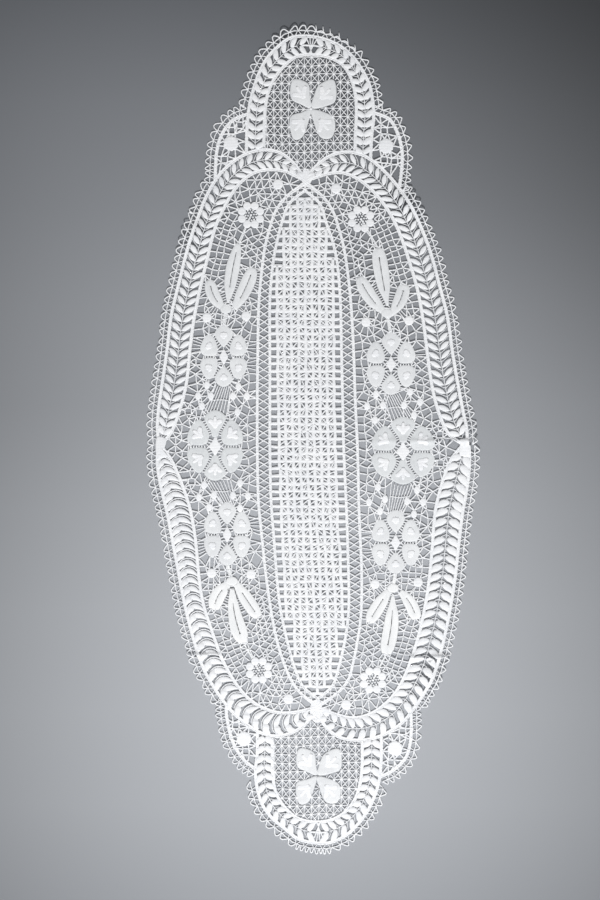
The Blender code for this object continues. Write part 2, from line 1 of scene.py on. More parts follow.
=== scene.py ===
import math

import bpy
import numpy as np
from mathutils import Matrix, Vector, kdtree
from mathutils.geometry import delaunay_2d_cdt


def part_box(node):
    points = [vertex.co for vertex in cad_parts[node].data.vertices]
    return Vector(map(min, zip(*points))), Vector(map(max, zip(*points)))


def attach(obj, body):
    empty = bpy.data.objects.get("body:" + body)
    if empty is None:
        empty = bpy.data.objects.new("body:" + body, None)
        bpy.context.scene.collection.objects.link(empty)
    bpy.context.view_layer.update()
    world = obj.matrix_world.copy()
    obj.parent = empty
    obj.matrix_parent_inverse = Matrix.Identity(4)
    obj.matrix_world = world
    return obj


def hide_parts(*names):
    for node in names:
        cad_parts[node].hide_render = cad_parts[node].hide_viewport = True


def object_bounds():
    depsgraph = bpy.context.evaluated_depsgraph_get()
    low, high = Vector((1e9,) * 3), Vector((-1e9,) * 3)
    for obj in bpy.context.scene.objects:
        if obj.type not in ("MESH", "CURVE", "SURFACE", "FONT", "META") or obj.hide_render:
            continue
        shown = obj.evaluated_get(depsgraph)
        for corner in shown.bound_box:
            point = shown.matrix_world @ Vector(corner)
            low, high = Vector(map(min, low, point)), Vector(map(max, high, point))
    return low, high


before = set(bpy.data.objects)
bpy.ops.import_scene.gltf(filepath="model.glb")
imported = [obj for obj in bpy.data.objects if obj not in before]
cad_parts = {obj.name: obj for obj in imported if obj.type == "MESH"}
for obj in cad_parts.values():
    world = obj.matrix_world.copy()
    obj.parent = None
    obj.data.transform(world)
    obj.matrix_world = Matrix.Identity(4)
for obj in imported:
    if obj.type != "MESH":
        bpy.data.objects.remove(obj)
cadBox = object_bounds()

# All shapes below are worked out in millimetres and turned to metres in makePiece.
mm = 0.001
corners = ("ul", "ur", "ll", "lr")
rng = np.random.default_rng(11)


# lines in the plane
def lengthAlong(line):
    return np.concatenate([[0.0], np.cumsum(np.linalg.norm(np.diff(line, axis=0), axis=1))])


def valuesAt(along, rows, distances):
    return np.stack([np.interp(distances, along, rows[:, k]) for k in range(rows.shape[1])], axis=1)


def pointsAt(line, distances):
    return valuesAt(lengthAlong(line), line, distances)


def evenly(line, step):
    total = lengthAlong(line)[-1]
    return pointsAt(line, np.linspace(0.0, total, max(2, round(total / step) + 1)))


def smoothed(line, step, closed=False):
    # a smooth curve through the points, then even steps along it
    if closed:
        p = np.concatenate([line[-1:], line, line[:2]])
    else:
        p = np.concatenate([2 * line[:1] - line[1:2], line, 2 * line[-1:] - line[-2:-1]])
    a, b, c, d = p[:-3, None], p[1:-2, None], p[2:-1, None], p[3:, None]
    t = np.linspace(0.0, 1.0, 12, endpoint=False)[None, :, None]
    curve = 0.5 * (2 * b + (c - a) * t + (2 * a - 5 * b + 4 * c - d) * t * t
                   + (3 * b - a - 3 * c + d) * t ** 3)
    curve = curve.reshape(-1, line.shape[1])
    last = line[:1] if closed else line[-1:]
    return evenly(np.concatenate([curve, last]), step)


def leftOf(line):
    # unit normals on the left of an open line
    run = np.gradient(line[:, :2], axis=0)
    run /= np.maximum(np.linalg.norm(run, axis=1, keepdims=True), 1e-9)
    return np.stack([-run[:, 1], run[:, 0]], axis=1)


def shifted(line, distance):
    return line[:, :2] + leftOf(line) * distance


def closedNormals(loop):
    run = np.roll(loop, -1, axis=0) - np.roll(loop, 1, axis=0)
    run /= np.maximum(np.linalg.norm(run, axis=1, keepdims=True), 1e-9)
    return np.stack([run[:, 1], -run[:, 0]], axis=1)  # outwards of a loop that runs anticlockwise


def anticlockwise(loop):
    x, y = loop[:, 0], loop[:, 1]
    area = 0.5 * float(np.sum(x * np.roll(y, -1) - np.roll(x, -1) * y))
    return loop if area > 0 else loop[::-1]


def roundedLoop(corners, step):
    # a smooth closed outline through its corners, running anticlockwise
    return anticlockwise(smoothed(corners, step, True)[:-1])


def unit(vector):
    return vector / np.linalg.norm(vector)


def insideLoop(points, loop):
    inside = np.zeros(len(points), bool)
    x, y = points[:, 0], points[:, 1]
    for (ax, ay), (bx, by) in zip(loop, np.roll(loop, -1, axis=0)):
        if ay == by:
            continue
        crosses = (ay > y) != (by > y)
        inside ^= crosses & (x < (bx - ax) * (y - ay) / (by - ay) + ax)
    return inside


def distanceTo(points, starts, ends):
    # distance of each point to the nearest of many straight pieces
    nearest = np.full(len(points), 1e9)
    for a, b in zip(starts, ends):
        ab = b - a
        share = np.clip(((points - a) @ ab) / max(ab @ ab, 1e-12), 0.0, 1.0)
        nearest = np.minimum(nearest, np.linalg.norm(points - a - share[:, None] * ab, axis=1))
    return nearest


def castRays(origins, directions, starts, ends):
    # how far each ray runs to the first straight piece that it meets, and which piece
    e = ends - starts
    px = starts[None, :, 0] - origins[:, None, 0]
    py = starts[None, :, 1] - origins[:, None, 1]
    dx, dy = directions[:, None, 0], directions[:, None, 1]
    ex, ey = e[None, :, 0], e[None, :, 1]
    det = dx * ey - dy * ex
    det = np.where(np.abs(det) < 1e-12, 1e-12, det)
    t = (px * ey - py * ex) / det
    u = (px * dy - py * dx) / det
    t = np.where((u >= 0.0) & (u <= 1.0) & (t > 0.05), t, 1e9)
    return t.min(axis=1), t.argmin(axis=1)


# outlines of the CAD nodes, and the lines of tape that they give
tape = {"half": 1.5, "wide": 3.4, "high": 1.0, "ribs": 2, "step": 1.5, "ripple": 0.1}


def nodeRims(node):
    # edges of the node's top face, as loops with the cloth on their left, the longest first
    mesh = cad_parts[node].data
    spots = np.empty(len(mesh.vertices) * 3)
    mesh.vertices.foreach_get("co", spots)
    spots = spots.reshape(-1, 3) / mm
    finest = 50.0  # places to a millimetre
    keys = np.round(spots[:, :2] * finest).astype(np.int64)
    unique, back = np.unique(keys, axis=0, return_inverse=True)
    back = back.ravel()
    highest = np.full(len(unique), -1e9)
    np.maximum.at(highest, back, spots[:, 2])
    isTop = spots[:, 2] > highest[back] - 0.3
    places = np.concatenate([unique / finest, highest[:, None]], axis=1)
    mesh.calc_loop_triangles()
    faces = np.empty(len(mesh.loop_triangles) * 3, np.int32)
    mesh.loop_triangles.foreach_get("vertices", faces)
    faces = faces.reshape(-1, 3)
    top = back[faces[isTop[faces].all(axis=1)]]
    edges = {}
    for face in top.tolist():
        for start, end in zip(face, face[1:] + face[:1]):
            edges[(start, end)] = True
    following = {start: end for start, end in edges if (end, start) not in edges}
    loops = []
    while following:
        start = next(iter(following))
        chain = [start]
        step = following.pop(start)
        while step != start and step in following:
            chain.append(step)
            step = following.pop(step)
        loops.append(places[chain])
    return sorted(loops, key=lambda loop: -lengthAlong(loop)[-1])


def arcBetween(loop, first, last):
    # the loop's points from one index to another, in its own direction
    if last < first:
        last += len(loop)
    return np.take(loop, range(first, last + 1), axis=0, mode="wrap")


def sharpest(loop, count):
    before = loop - np.roll(loop, 1, axis=0)
    after = np.roll(loop, -1, axis=0) - loop
    turn = np.arctan2(after[:, 1], after[:, 0]) - np.arctan2(before[:, 1], before[:, 0])
    turn = np.abs((turn + math.pi) % (2 * math.pi) - math.pi)
    return sorted(np.argsort(-turn)[:count].tolist())


def arcs(loop, marks):
    # the loop cut at these points, the longest arc first
    marks = sorted(marks)
    cut = [arcBetween(loop, a, b) for a, b in zip(marks, marks[1:] + [marks[0] + len(loop)])]
    return sorted(cut, key=lambda arc: -lengthAlong(arc)[-1])


def borderLines(corner):
    # middle lines of the outer and inner tape of a quarter's border, from side knot to crossing
    loop = nodeRims(f"border_{corner}")[0][:, :2]
    inwards = np.abs(loop[:, 0])
    knot = np.flatnonzero(np.abs(loop[:, 1]) < 0.3)
    knotOuter, knotInner = knot[np.argmax(inwards[knot])], knot[np.argmin(inwards[knot])]
    tip = int(np.argmax(loop[:, 0])) if corner[1] == "l" else int(np.argmin(loop[:, 0]))
    other = int(np.argsort(np.linalg.norm(loop - loop[tip], axis=1))[1])
    lines = {}
    for arc in arcs(loop, [int(knotOuter), int(knotInner), tip, other])[:2]:
        line = shifted(smoothed(arc, 2.0), tape["half"])
        line = line if abs(line[0, 1]) < abs(line[-1, 1]) else line[::-1]
        isOuter = min(np.linalg.norm(arc[[0, -1]] - loop[knotOuter], axis=1)) < 0.01
        lines["outer" if isOuter else "inner"] = line
    return lines["outer"], lines["inner"]


def archLines(end):
    # middle lines of an arch's two tapes, from its left foot to its right foot
    loop = nodeRims(f"arch_{end}")[0][:, :2]
    lines = []
    for arc in arcs(loop, sharpest(loop, 4))[:2]:
        line = shifted(smoothed(arc, 2.0), tape["half"])
        lines.append(line if line[0, 0] < line[-1, 0] else line[::-1])
    return lines[0], lines[1]


def lobeLine(corner):
    # middle line of a lobe's outer tape, from the arch to the border
    loop = nodeRims(f"lobe_{corner}")[0][:, :2]
    outer = max(arcs(loop, sharpest(loop, 3)),
                key=lambda arc: np.abs(smoothed(arc, 2.0)[:, 0]).mean())
    line = shifted(smoothed(outer, 2.0), tape["half"])
    return line if abs(line[0, 1]) > abs(line[-1, 1]) else line[::-1]


def ovalLines(node, half):
    # left and right half of an oval's line, from its top point to its bottom point
    loop = nodeRims(node)[0][:, :2]
    top, bottom = int(np.argmax(loop[:, 1])), int(np.argmin(loop[:, 1]))
    left = shifted(smoothed(arcBetween(loop, top, bottom), 2.0), half)
    right = shifted(smoothed(arcBetween(loop, bottom, top), 2.0), half)[::-1]
    return left, right


# how the cloth lies
lie = {
    "gridStep": 4.0, "margin": 20.0, "unevenMm": 0.5,
    # gentle waves of uneven cloth: the length of each and of its drift, over 2 pi
    "waves": {"across": (17.0, 31.0), "along": (23.0, 41.0), "bend": 1.3},
    # fold creases across the runner: y, half width, height, and the x where each starts and is full
    "creases": ((3.2, 2.2, 2.4, 40.0, 130.0), (-184.0, 2.0, 2.6, 60.0, 88.0),
                (-182.0, 2.0, 2.2, -62.0, -88.0)),
}


def clothHeight():
    # the CAD undersides give the lifted edges; kept on a coarse grid to be read quickly
    low, high = np.array(cadBox[0]) / mm, np.array(cadBox[1]) / mm
    step = lie["gridStep"]
    under = []
    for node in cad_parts.values():
        spots = np.empty(len(node.data.vertices) * 3)
        node.data.vertices.foreach_get("co", spots)
        spots = np.unique(np.round(spots.reshape(-1, 3) / mm, 2), axis=0)
        lowest = {}
        for x, y, z in spots:
            lowest[(x, y)] = min(z, lowest.get((x, y), 1e9))
        under += [(x, y, z) for (x, y), z in lowest.items()]
    tree = kdtree.KDTree(len(under))
    for number, (x, y, z) in enumerate(under):
        tree.insert((x, y, 0.0), number)
    tree.balance()
    xs, ys = [np.arange(low[k] - lie["margin"], high[k] + lie["margin"], step) for k in (0, 1)]
    grid = np.empty((len(xs), len(ys)))
    for i, x in enumerate(xs):
        for j, y in enumerate(ys):
            found = tree.find_n((x, y, 0.0), 6)
            weights = [1.0 / (distance + 1.0) ** 2 for _, _, distance in found]
            grid[i, j] = sum(w * under[n][2] for w, (_, n, _) in zip(weights, found)) / sum(weights)
    return xs, ys, grid


def liftOf(points):
    xs, ys, grid = heights
    step = lie["gridStep"]
    u = np.clip((points[:, 0] - xs[0]) / step, 0, len(xs) - 1.001)
    v = np.clip((points[:, 1] - ys[0]) / step, 0, len(ys) - 1.001)
    i, j = u.astype(int), v.astype(int)
    u, v = u - i, v - j
    lift = (grid[i, j] * (1 - u) * (1 - v) + grid[i + 1, j] * u * (1 - v)
            + grid[i, j + 1] * (1 - u) * v + grid[i + 1, j + 1] * u * v)
    x, y = points[:, 0], points[:, 1]
    (acrossMm, driftY), (alongMm, driftX) = lie["waves"]["across"], lie["waves"]["along"]
    waves = np.sin(x / acrossMm + np.sin(y / driftY))
    waves = waves * np.sin(y / alongMm + lie["waves"]["bend"] * np.sin(x / driftX))
    lift = lift + lie["unevenMm"] * (0.5 + 0.5 * waves)
    for creaseY, half, high, first, last in lie["creases"]:
        grows = np.clip((x - first) / (last - first), 0.0, 1.0)
        lift = lift + high * grows * np.exp(-((y - creaseY) / half) ** 2)
    return lift


heights = clothHeight()
print("cloth height read")


# mesh building
def newBag():
    return {"points": [], "quads": [], "tris": [], "count": 0}


def addLoft(bag, rings):
    # rings: sections x points round each x 3, closed round and capped at both ends
    sections, around = rings.shape[:2]
    first = bag["count"]
    middles = np.stack([rings[0].mean(axis=0), rings[-1].mean(axis=0)])
    bag["points"] += [rings.reshape(-1, 3), middles]
    a = first + np.arange(sections * around).reshape(sections, around)
    b = np.roll(a, -1, axis=1)
    bag["quads"].append(np.stack([a[:-1], b[:-1], b[1:], a[1:]], axis=-1).reshape(-1, 4))
    start, end = first + sections * around, first + sections * around + 1
    bag["tris"].append(np.stack([b[0], a[0], np.full(around, start)], axis=-1))
    bag["tris"].append(np.stack([a[-1], b[-1], np.full(around, end)], axis=-1))
    bag["count"] += sections * around + 2


plait = {"wide": 1.25, "high": 0.9, "level": 0.55, "step": 1.5, "swell": 0.13, "wobble": 0.15,
         "ends": 0.8, "rise": 0.2, "swayTurn": 0.55, "riseTurn": 0.31}  # turns in radians a mm


def addPlait(bag, path, wide=plait["wide"], high=plait["high"], level=plait["level"],
             step=plait["step"], wobble=plait["wobble"], sides=5):
    # a plait: an oval tube that swells and narrows where its threads cross
    path = np.asarray(path, float)
    if lengthAlong(path[:, :2])[-1] < 0.8:
        return
    line = evenly(path, step)
    side = leftOf(line)
    along = lengthAlong(line)
    sway = wobble * np.sin(along * plait["swayTurn"] + rng.uniform(0, 6.3))
    sway = sway * np.sin(np.linspace(0, math.pi, len(line)))
    swell = 1.0 + plait["swell"] * np.where(np.arange(len(line)) % 2, 1.0, -1.0)
    swell[0], swell[-1] = plait["ends"], plait["ends"]
    z = level + plait["rise"] * np.sin(along * plait["riseTurn"] + rng.uniform(0, 6.3))
    angle = 2 * math.pi * (np.arange(sides) + 0.5) / sides
    across = np.cos(angle)[None, :] * (0.5 * wide * swell)[:, None]
    up = np.sin(angle)[None, :] * (0.5 * high * swell)[:, None]
    rings = np.empty((len(line), sides, 3))
    rings[..., :2] = (line + side * sway[:, None])[:, None, :]
    rings[..., :2] += side[:, None, :] * across[..., None]
    rings[..., 2] = z[:, None] + up
    addLoft(bag, rings[:, ::-1])


padAcross = 9  # points across a pad


def addPad(bag, middle, half, height, level=0.15, crownPower=0.4):
    # closed, padded cloth work: middle line, half width at each of its points, height at each
    middle = np.asarray(middle, float)
    side = leftOf(middle)
    v = np.linspace(-1.0, 1.0, padAcross)
    crown = np.clip(1.0 - (0.97 * v) ** 2, 0.0, 1.0) ** crownPower
    rings = np.empty((len(middle), padAcross, 3))
    rings[..., :2] = middle[:, None, :] + side[:, None, :] * (v[None, :] * half[:, None])[..., None]
    rings[..., 2] = level + height[:, None] * crown[None, :]
    addLoft(bag, rings)


# (share of the outline, share of the height) from the bottom to the top of a padded shape
padProfile = ((0.5, 0.0), (1.0, 0.0), (1.0, 0.5), (0.95, 0.8), (0.85, 0.93), (0.5, 1.0))


def addShape(bag, outline, high, level=0.1):
    # padded cloth work inside any rounded outline: a flat top with a rounded edge
    outline = anticlockwise(np.asarray(outline, float))
    middle = outline.mean(axis=0)
    count = len(outline)
    rings = np.empty((len(padProfile), count, 3))
    for k, (share, height) in enumerate(padProfile):
        rings[k, :, :2] = middle + (outline - middle) * share
        rings[k, :, 2] = level + high * height
    addLoft(bag, rings)


def bowed(base, tip, bow, count):
    # a line from base to tip that bows to its left
    base, tip = np.asarray(base, float), np.asarray(tip, float)
    u = np.linspace(0.0, 1.0, count)[:, None]
    run = tip - base
    normal = np.array([-run[1], run[0]]) / max(np.linalg.norm(run), 1e-9)
    return base + run * u + normal * bow * np.sin(math.pi * u)


# half width along a leaf, from its base to its tip
leafShapes = {
    "lens": ((0.0, 0.2), (0.2, 0.75), (0.45, 1.0), (0.75, 0.8), (1.0, 0.15)),
    "arch": ((0.0, 0.15), (0.2, 0.7), (0.45, 1.0), (0.7, 0.95), (0.9, 0.7), (1.0, 0.5)),
    "plump": ((0.0, 0.12), (0.18, 0.62), (0.4, 0.97), (0.6, 1.0), (0.8, 0.8), (0.93, 0.55),
              (1.0, 0.3)),
    "prong": ((0.0, 0.55), (0.25, 0.8), (0.6, 1.0), (0.85, 0.9), (1.0, 0.5)),
    "long": ((0.0, 0.15), (0.16, 0.43), (0.3, 0.77), (0.43, 0.93), (0.56, 0.98), (0.69, 1.0),
             (0.82, 0.97), (0.92, 0.8), (0.98, 0.45), (1.0, 0.25)),
    "low": ((0.0, 0.15), (0.1, 0.42), (0.22, 0.72), (0.36, 0.92), (0.5, 0.99), (0.62, 1.0),
            (0.75, 0.86), (0.87, 0.68), (0.95, 0.45), (1.0, 0.2)),
    "blunt": ((0.0, 0.4), (0.15, 0.65), (0.35, 0.9), (0.55, 1.0), (0.75, 1.0), (0.88, 0.9),
              (0.96, 0.68), (1.0, 0.35)),
    "wedge": ((0.0, 0.25), (0.15, 0.47), (0.29, 0.67), (0.44, 0.8), (0.58, 0.93), (0.73, 1.0),
              (0.85, 0.92), (0.94, 0.65), (1.0, 0.35)),
    "fat": ((0.0, 0.4), (0.15, 0.68), (0.35, 0.93), (0.55, 1.0), (0.75, 0.98), (0.88, 0.8),
            (0.96, 0.52), (1.0, 0.25)),
}
leafPoints = 9  # along a leaf's middle line


def leafHalf(shape, u):
    table = np.array(leafShapes[shape])
    return np.interp(u, table[:, 0], table[:, 1])


def addLeaf(bag, base, tip, wide, high, bow, shape, level=0.1, crownPower=0.4):
    line = bowed(base, tip, bow, leafPoints)
    half = leafHalf(shape, np.linspace(0.0, 1.0, leafPoints))
    height = high * np.minimum(1.0, 0.45 + 0.6 * half)
    addPad(bag, line, 0.5 * wide * half, height, level, crownPower)


def roundOutline(x, y, halfX, halfY, count=16, waves=0, waveMm=0.0):
    t = np.linspace(0, 2 * math.pi, count, endpoint=False)
    grow = waveMm * np.cos(waves * t)
    return np.stack([x + (halfX + grow) * np.cos(t), y + (halfY + grow) * np.sin(t)], axis=1)


def addTape(bag, line, wide=tape["wide"], high=tape["high"], level=0.1):
    # a woven tape with lengthwise ribs and a slight ripple at each pin
    line = evenly(line, tape["step"])
    v = np.linspace(-1.0, 1.0, 4 * tape["ribs"] + 1)
    crown = 0.7 - 0.3 * np.cos(2 * math.pi * tape["ribs"] * (v + 1.0) / 2.0)
    crown *= np.clip(1.0 - (0.9 * v) ** 2, 0.0, 1.0) ** 0.25
    swing = 1.0 + tape["ripple"] * np.where(np.arange(len(line)) % 2, 1.0, -1.0)
    side = leftOf(line)
    across = 0.5 * wide * v[None, :] * (2.0 - swing[:, None])
    rings = np.empty((len(line), len(v), 3))
    rings[..., :2] = line[:, None, :] + side[:, None, :] * across[..., None]
    rings[..., 2] = level + high * crown[None, :] * swing[:, None]
    addLoft(bag, rings)


counts = {}
pieces = {}


def makePiece(name, bag, material, nodes):
    points = np.concatenate([part.reshape(-1, 3) for part in bag["points"]])
    points[:, 2] += liftOf(points)
    quads = np.concatenate(bag["quads"])
    tris = np.concatenate(bag["tris"])
    mesh = bpy.data.meshes.new(name)
    mesh.vertices.add(len(points))
    mesh.vertices.foreach_set("co", (points * mm).ravel())
    mesh.loops.add(quads.size + tris.size)
    turns = np.concatenate([quads.ravel(), tris.ravel()])
    mesh.loops.foreach_set("vertex_index", turns.astype(np.int32))
    mesh.polygons.add(len(quads) + len(tris))
    starts = np.concatenate([np.arange(len(quads)) * 4, quads.size + np.arange(len(tris)) * 3])
    mesh.polygons.foreach_set("loop_start", starts.astype(np.int32))
    mesh.update(calc_edges=True)
    mesh.validate()
    mesh.shade_smooth()
    piece = bpy.data.objects.new(name, mesh)
    bpy.context.scene.collection.objects.link(piece)
    piece.data.materials.append(material)
    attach(piece, "root")
    if nodes:
        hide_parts(*nodes)
    counts[name] = 2 * len(quads) + len(tris)
    pieces[name] = piece


# materials
def linear(hexColour):
    # an sRGB hex value as the linear colour that the shaders work in
    values = [int(hexColour[k:k + 2], 16) / 255.0 for k in (1, 3, 5)]
    values = [v / 12.92 if v <= 0.04045 else ((v + 0.055) / 1.055) ** 2.4 for v in values]
    return (*values, 1.0)


def addNode(tree, kind, settings=None, inputs=None, links=None):
    # adds one node: its own settings, the values of its sockets and what feeds them
    node = tree.nodes.new(kind)
    for key, value in (settings or {}).items():
        setattr(node, key, value)
    for key, value in (inputs or {}).items():
        node.inputs[key].default_value = value
    for key, source in (links or {}).items():
        tree.links.new(source, node.inputs[key])
    return node


linenLook = {
    # open and thin cloth work let the ground show; the last tone is cloth stitch made lighter as
    # painted light, for the lower leaf sprays where the light falls more strongly
    "tones": {"full": ("#e8eaee", "#f3f4f6"), "thin": ("#dcdee1", "#e9ebed"),
              "open": ("#d3d6d9", "#e1e4e6"), "paintedLit": ("#e9ebed", "#f4f5f6")},
    "roughness": 0.82, "sheen": 0.1, "ior": 1.45, "bump": 0.7,
    "threadMm": 1.3,  # real thread is nearer 0.4 mm; drawn coarser so that it shows
    "patchMm": 24.0, "fineShare": 0.6,  # patches of slightly different white, and specks in them
    "bandEvery": 0.314,  # a wave texture of scale 1 repeats after this length
}


def bleachedLinen(name, tone, weave, bumpMm):
    # bleached linen thread, spun and worked by hand: matt, slightly uneven white with a soft
    # relief of threads
    material = bpy.data.materials.new(name)
    material.use_nodes = True
    tree = material.node_tree
    shader = tree.nodes["Principled BSDF"]
    shader.inputs["Roughness"].default_value = linenLook["roughness"]
    shader.inputs["Sheen Weight"].default_value = linenLook["sheen"]
    shader.inputs["IOR"].default_value = linenLook["ior"]
    where = addNode(tree, "ShaderNodeTexCoord").outputs["Object"]
    patchScale, threadScale = 1.0 / (linenLook["patchMm"] * mm), 1.0 / (linenLook["threadMm"] * mm)
    patch = addNode(tree, "ShaderNodeTexNoise", inputs={"Scale": patchScale, "Detail": 3.0},
                    links={"Vector": where})
    fine = addNode(tree, "ShaderNodeTexNoise", inputs={"Scale": 0.6 * threadScale, "Detail": 1.0},
                   links={"Vector": where})
    both = addNode(tree, "ShaderNodeMath", {"operation": "MULTIPLY_ADD"},
                   {1: linenLook["fineShare"]},
                   {0: fine.outputs["Fac"], 2: patch.outputs["Fac"]})
    colour = addNode(tree, "ShaderNodeValToRGB", links={"Fac": both.outputs[0]})
    for stop, position, hexColour in zip(colour.color_ramp.elements, (0.5, 1.0),
                                         linenLook["tones"][tone]):
        stop.position = position
        stop.color = linear(hexColour)
    tree.links.new(colour.outputs["Color"], shader.inputs["Base Color"])
    relief = None
    for direction in weave:
        wave = addNode(tree, "ShaderNodeTexWave", {"bands_direction": direction},
                       {"Scale": linenLook["bandEvery"] * threadScale, "Distortion": 2.0,
                        "Detail": 1.0, "Detail Scale": 0.6}, {"Vector": where}).outputs["Fac"]
        if relief is None:
            relief = wave
        else:
            relief = addNode(tree, "ShaderNodeMath", {"operation": "MAXIMUM"},
                             links={0: relief, 1: wave}).outputs[0]
    bump = addNode(tree, "ShaderNodeBump", links={"Height": relief},
                   inputs={"Strength": linenLook["bump"], "Distance": bumpMm * mm})
    tree.links.new(bump.outputs["Normal"], shader.inputs["Normal"])
    return material


wovenTape = bleachedLinen("bleached_linen_tape", "full", ("X", "Y"), 0.16)
clothStitch = bleachedLinen("bleached_linen_cloth_stitch", "thin", ("X",), 0.2)
openStitch = bleachedLinen("bleached_linen_open_stitch", "open", ("X",), 0.2)
# cloth stitch with painted light: a lighter copy for the lower sprays
paintedLitStitch = bleachedLinen("bleached_linen_cloth_stitch_painted_lit", "paintedLit", ("X",), 0.2)
raisedWork = bleachedLinen("bleached_linen_raised_work", "full", ("Y",), 0.12)
netPlait = bleachedLinen("bleached_linen_plait", "full", ("DIAGONAL",), 0.12)
picotThread = bleachedLinen("bleached_linen_picot", "full", ("DIAGONAL",), 0.12)
print("materials made")


# leafy borders
def bandCross(outer, inner):
    # length along a band, with the points of its two tapes that lie square to its middle line
    count = 60
    a = pointsAt(outer, np.linspace(0, lengthAlong(outer)[-1], count))
    b = pointsAt(inner, np.linspace(0, lengthAlong(inner)[-1], count))
    line = evenly(0.5 * (a + b), 3.0)
    for _ in range(4):
        normal = leftOf(line)
        reach = []
        for tapeLine in (outer, inner):
            toLeft, _ = castRays(line, normal, tapeLine[:-1], tapeLine[1:])
            toRight, _ = castRays(line, -normal, tapeLine[:-1], tapeLine[1:])
            signed = np.where(toLeft < toRight, toLeft, -toRight)
            reach.append(np.where(np.abs(signed) < 30.0, signed, np.nan))
        good = ~np.isnan(reach[0]) & ~np.isnan(reach[1]) & (np.sign(reach[0]) != np.sign(reach[1]))
        steps = np.arange(len(line))
        reach = [np.interp(steps, steps[good], r[good]) for r in reach]
        crossed = line, normal, reach
        line = evenly(line + normal * (0.5 * (reach[0] + reach[1]))[:, None], 3.0)
    line, normal, reach = crossed
    return lengthAlong(line), line + normal * reach[0][:, None], line + normal * reach[1][:, None]


def inBand(cross, marks):
    # marks are (length along the band, share of the way from the outer to the inner tape)
    along, outer, inner = cross
    marks = np.asarray(marks, float)
    a, b = [valuesAt(along, line, marks[:, 0]) for line in (outer, inner)]
    return a + (b - a) * marks[:, 1:2]


# slant: how far a leaf's foot lies ahead of its tip, at the start of the band and further on;
# from, to: shares of the way from the outer to the inner tape
upperLeaves = {
    "pitch": (7.63, 7.63), "start": 8.5, "shape": "lens", "high": 1.2, "stemWide": 0.85,
    "outer": {"slant": (7.2, 5.9), "wide": 4.9, "bow": 0.0, "from": 0.09, "to": 0.48},
    "inner": {"slant": (6.4, 8.4), "wide": 4.9, "bow": 0.0, "from": 0.96, "to": 0.54},
    "thread": (0.75, 0.6, 0.6), "over": 2.3,
}
lowerLeaves = {
    "pitch": (8.0, 8.5), "start": 10.5, "shape": "plump", "high": 1.3, "stemWide": 0.9,
    "outer": {"slant": (7.7, 4.2), "wide": 6.9, "bow": 1.8, "from": 0.06, "to": 0.47},
    "inner": {"slant": (5.8, 8.0), "wide": 6.5, "bow": 1.8, "from": 0.95, "to": 0.53},
    "thread": (0.9, 0.6, 0.5), "over": 3.5,
}
bandLook = {"end": 3.0, "nearKnot": (10.0, 70.0), "swell": (1.12, 1.0), "farAlong": (100.0, 200.0),
            "uneven": 0.05, "unevenMm": 0.25, "shortest": 3.5, "slantOver": (0.0, 0.65)}


def alongBand(start, stop, pitch):
    # places along a band whose pitch grows from its start to its end
    places = [start]
    while places[-1] < stop:
        places.append(places[-1] + np.interp(places[-1], bandLook["farAlong"], pitch))
    return places[:-1]


def addVLeaves(bag, cross, look, start, end):
    # pairs of woven leaves that meet in the middle of the band and point to its start, each pair
    # with a thin thread that runs before it from tape to tape
    total = cross[0][-1]
    for s in alongBand(start, total - end, look["pitch"]):
        grow = np.interp(s, bandLook["nearKnot"], bandLook["swell"])
        grow += bandLook["uneven"] * rng.standard_normal()
        shiftS = bandLook["unevenMm"] * rng.standard_normal()
        slants = [np.interp(s / total, bandLook["slantOver"], look[key]["slant"])
                  for key in ("outer", "inner")]
        for key, slant in zip(("outer", "inner"), slants):
            part = look[key]
            base, tip, ahead = inBand(cross, [(s + slant + shiftS, part["from"]),
                                              (s + shiftS, part["to"]),
                                              (s + shiftS - 3.0, part["from"])])
            run, back = tip - base, ahead - base
            way = 1.0 if run[0] * back[1] - run[1] * back[0] > 0 else -1.0
            if np.linalg.norm(run) > bandLook["shortest"]:
                addLeaf(bag, base, tip, part["wide"] * grow, look["high"], way * part["bow"],
                        look["shape"])
        before = s - look["over"]
        thread = inBand(cross, [(before + slants[0], 0.05), (before + 0.5 * slants[0] - 0.5, 0.26),
                                (before, 0.46), (before, 0.54),
                                (before + 0.5 * slants[1] - 0.5, 0.74), (before + slants[1], 0.96)])
        addPlait(bag, smoothed(thread, 1.5), *look["thread"], wobble=0.0, sides=4)
    along = np.arange(start, total - end, 3.0)
    stem = inBand(cross, np.stack([along, np.full(len(along), 0.5)], axis=1))
    addPlait(bag, stem, look["stemWide"], 0.6, 0.4)


capLeaves = {
    "pitch": (7.5, 9.0), "start": 3.2, "end": 9.0, "high": 1.35, "swell": (0.96, 1.12),
    # length along the band, share across it, half width
    "path": ((8.4, 0.07, 1.0), (5.9, 0.16, 2.4), (4.3, 0.29, 3.1), (3.0, 0.43, 2.2),
             (3.3, 0.56, 2.6), (5.2, 0.75, 2.0), (9.0, 0.95, 0.5)),
    "fold": (0.7, 0.43, 0.055),  # depth, place and reach of the fold across each
    "string": ((4.4, 0.05), (1.4, 0.2), (-0.1, 0.4), (-0.2, 0.6), (1.6, 0.8), (5.2, 0.97)),
}


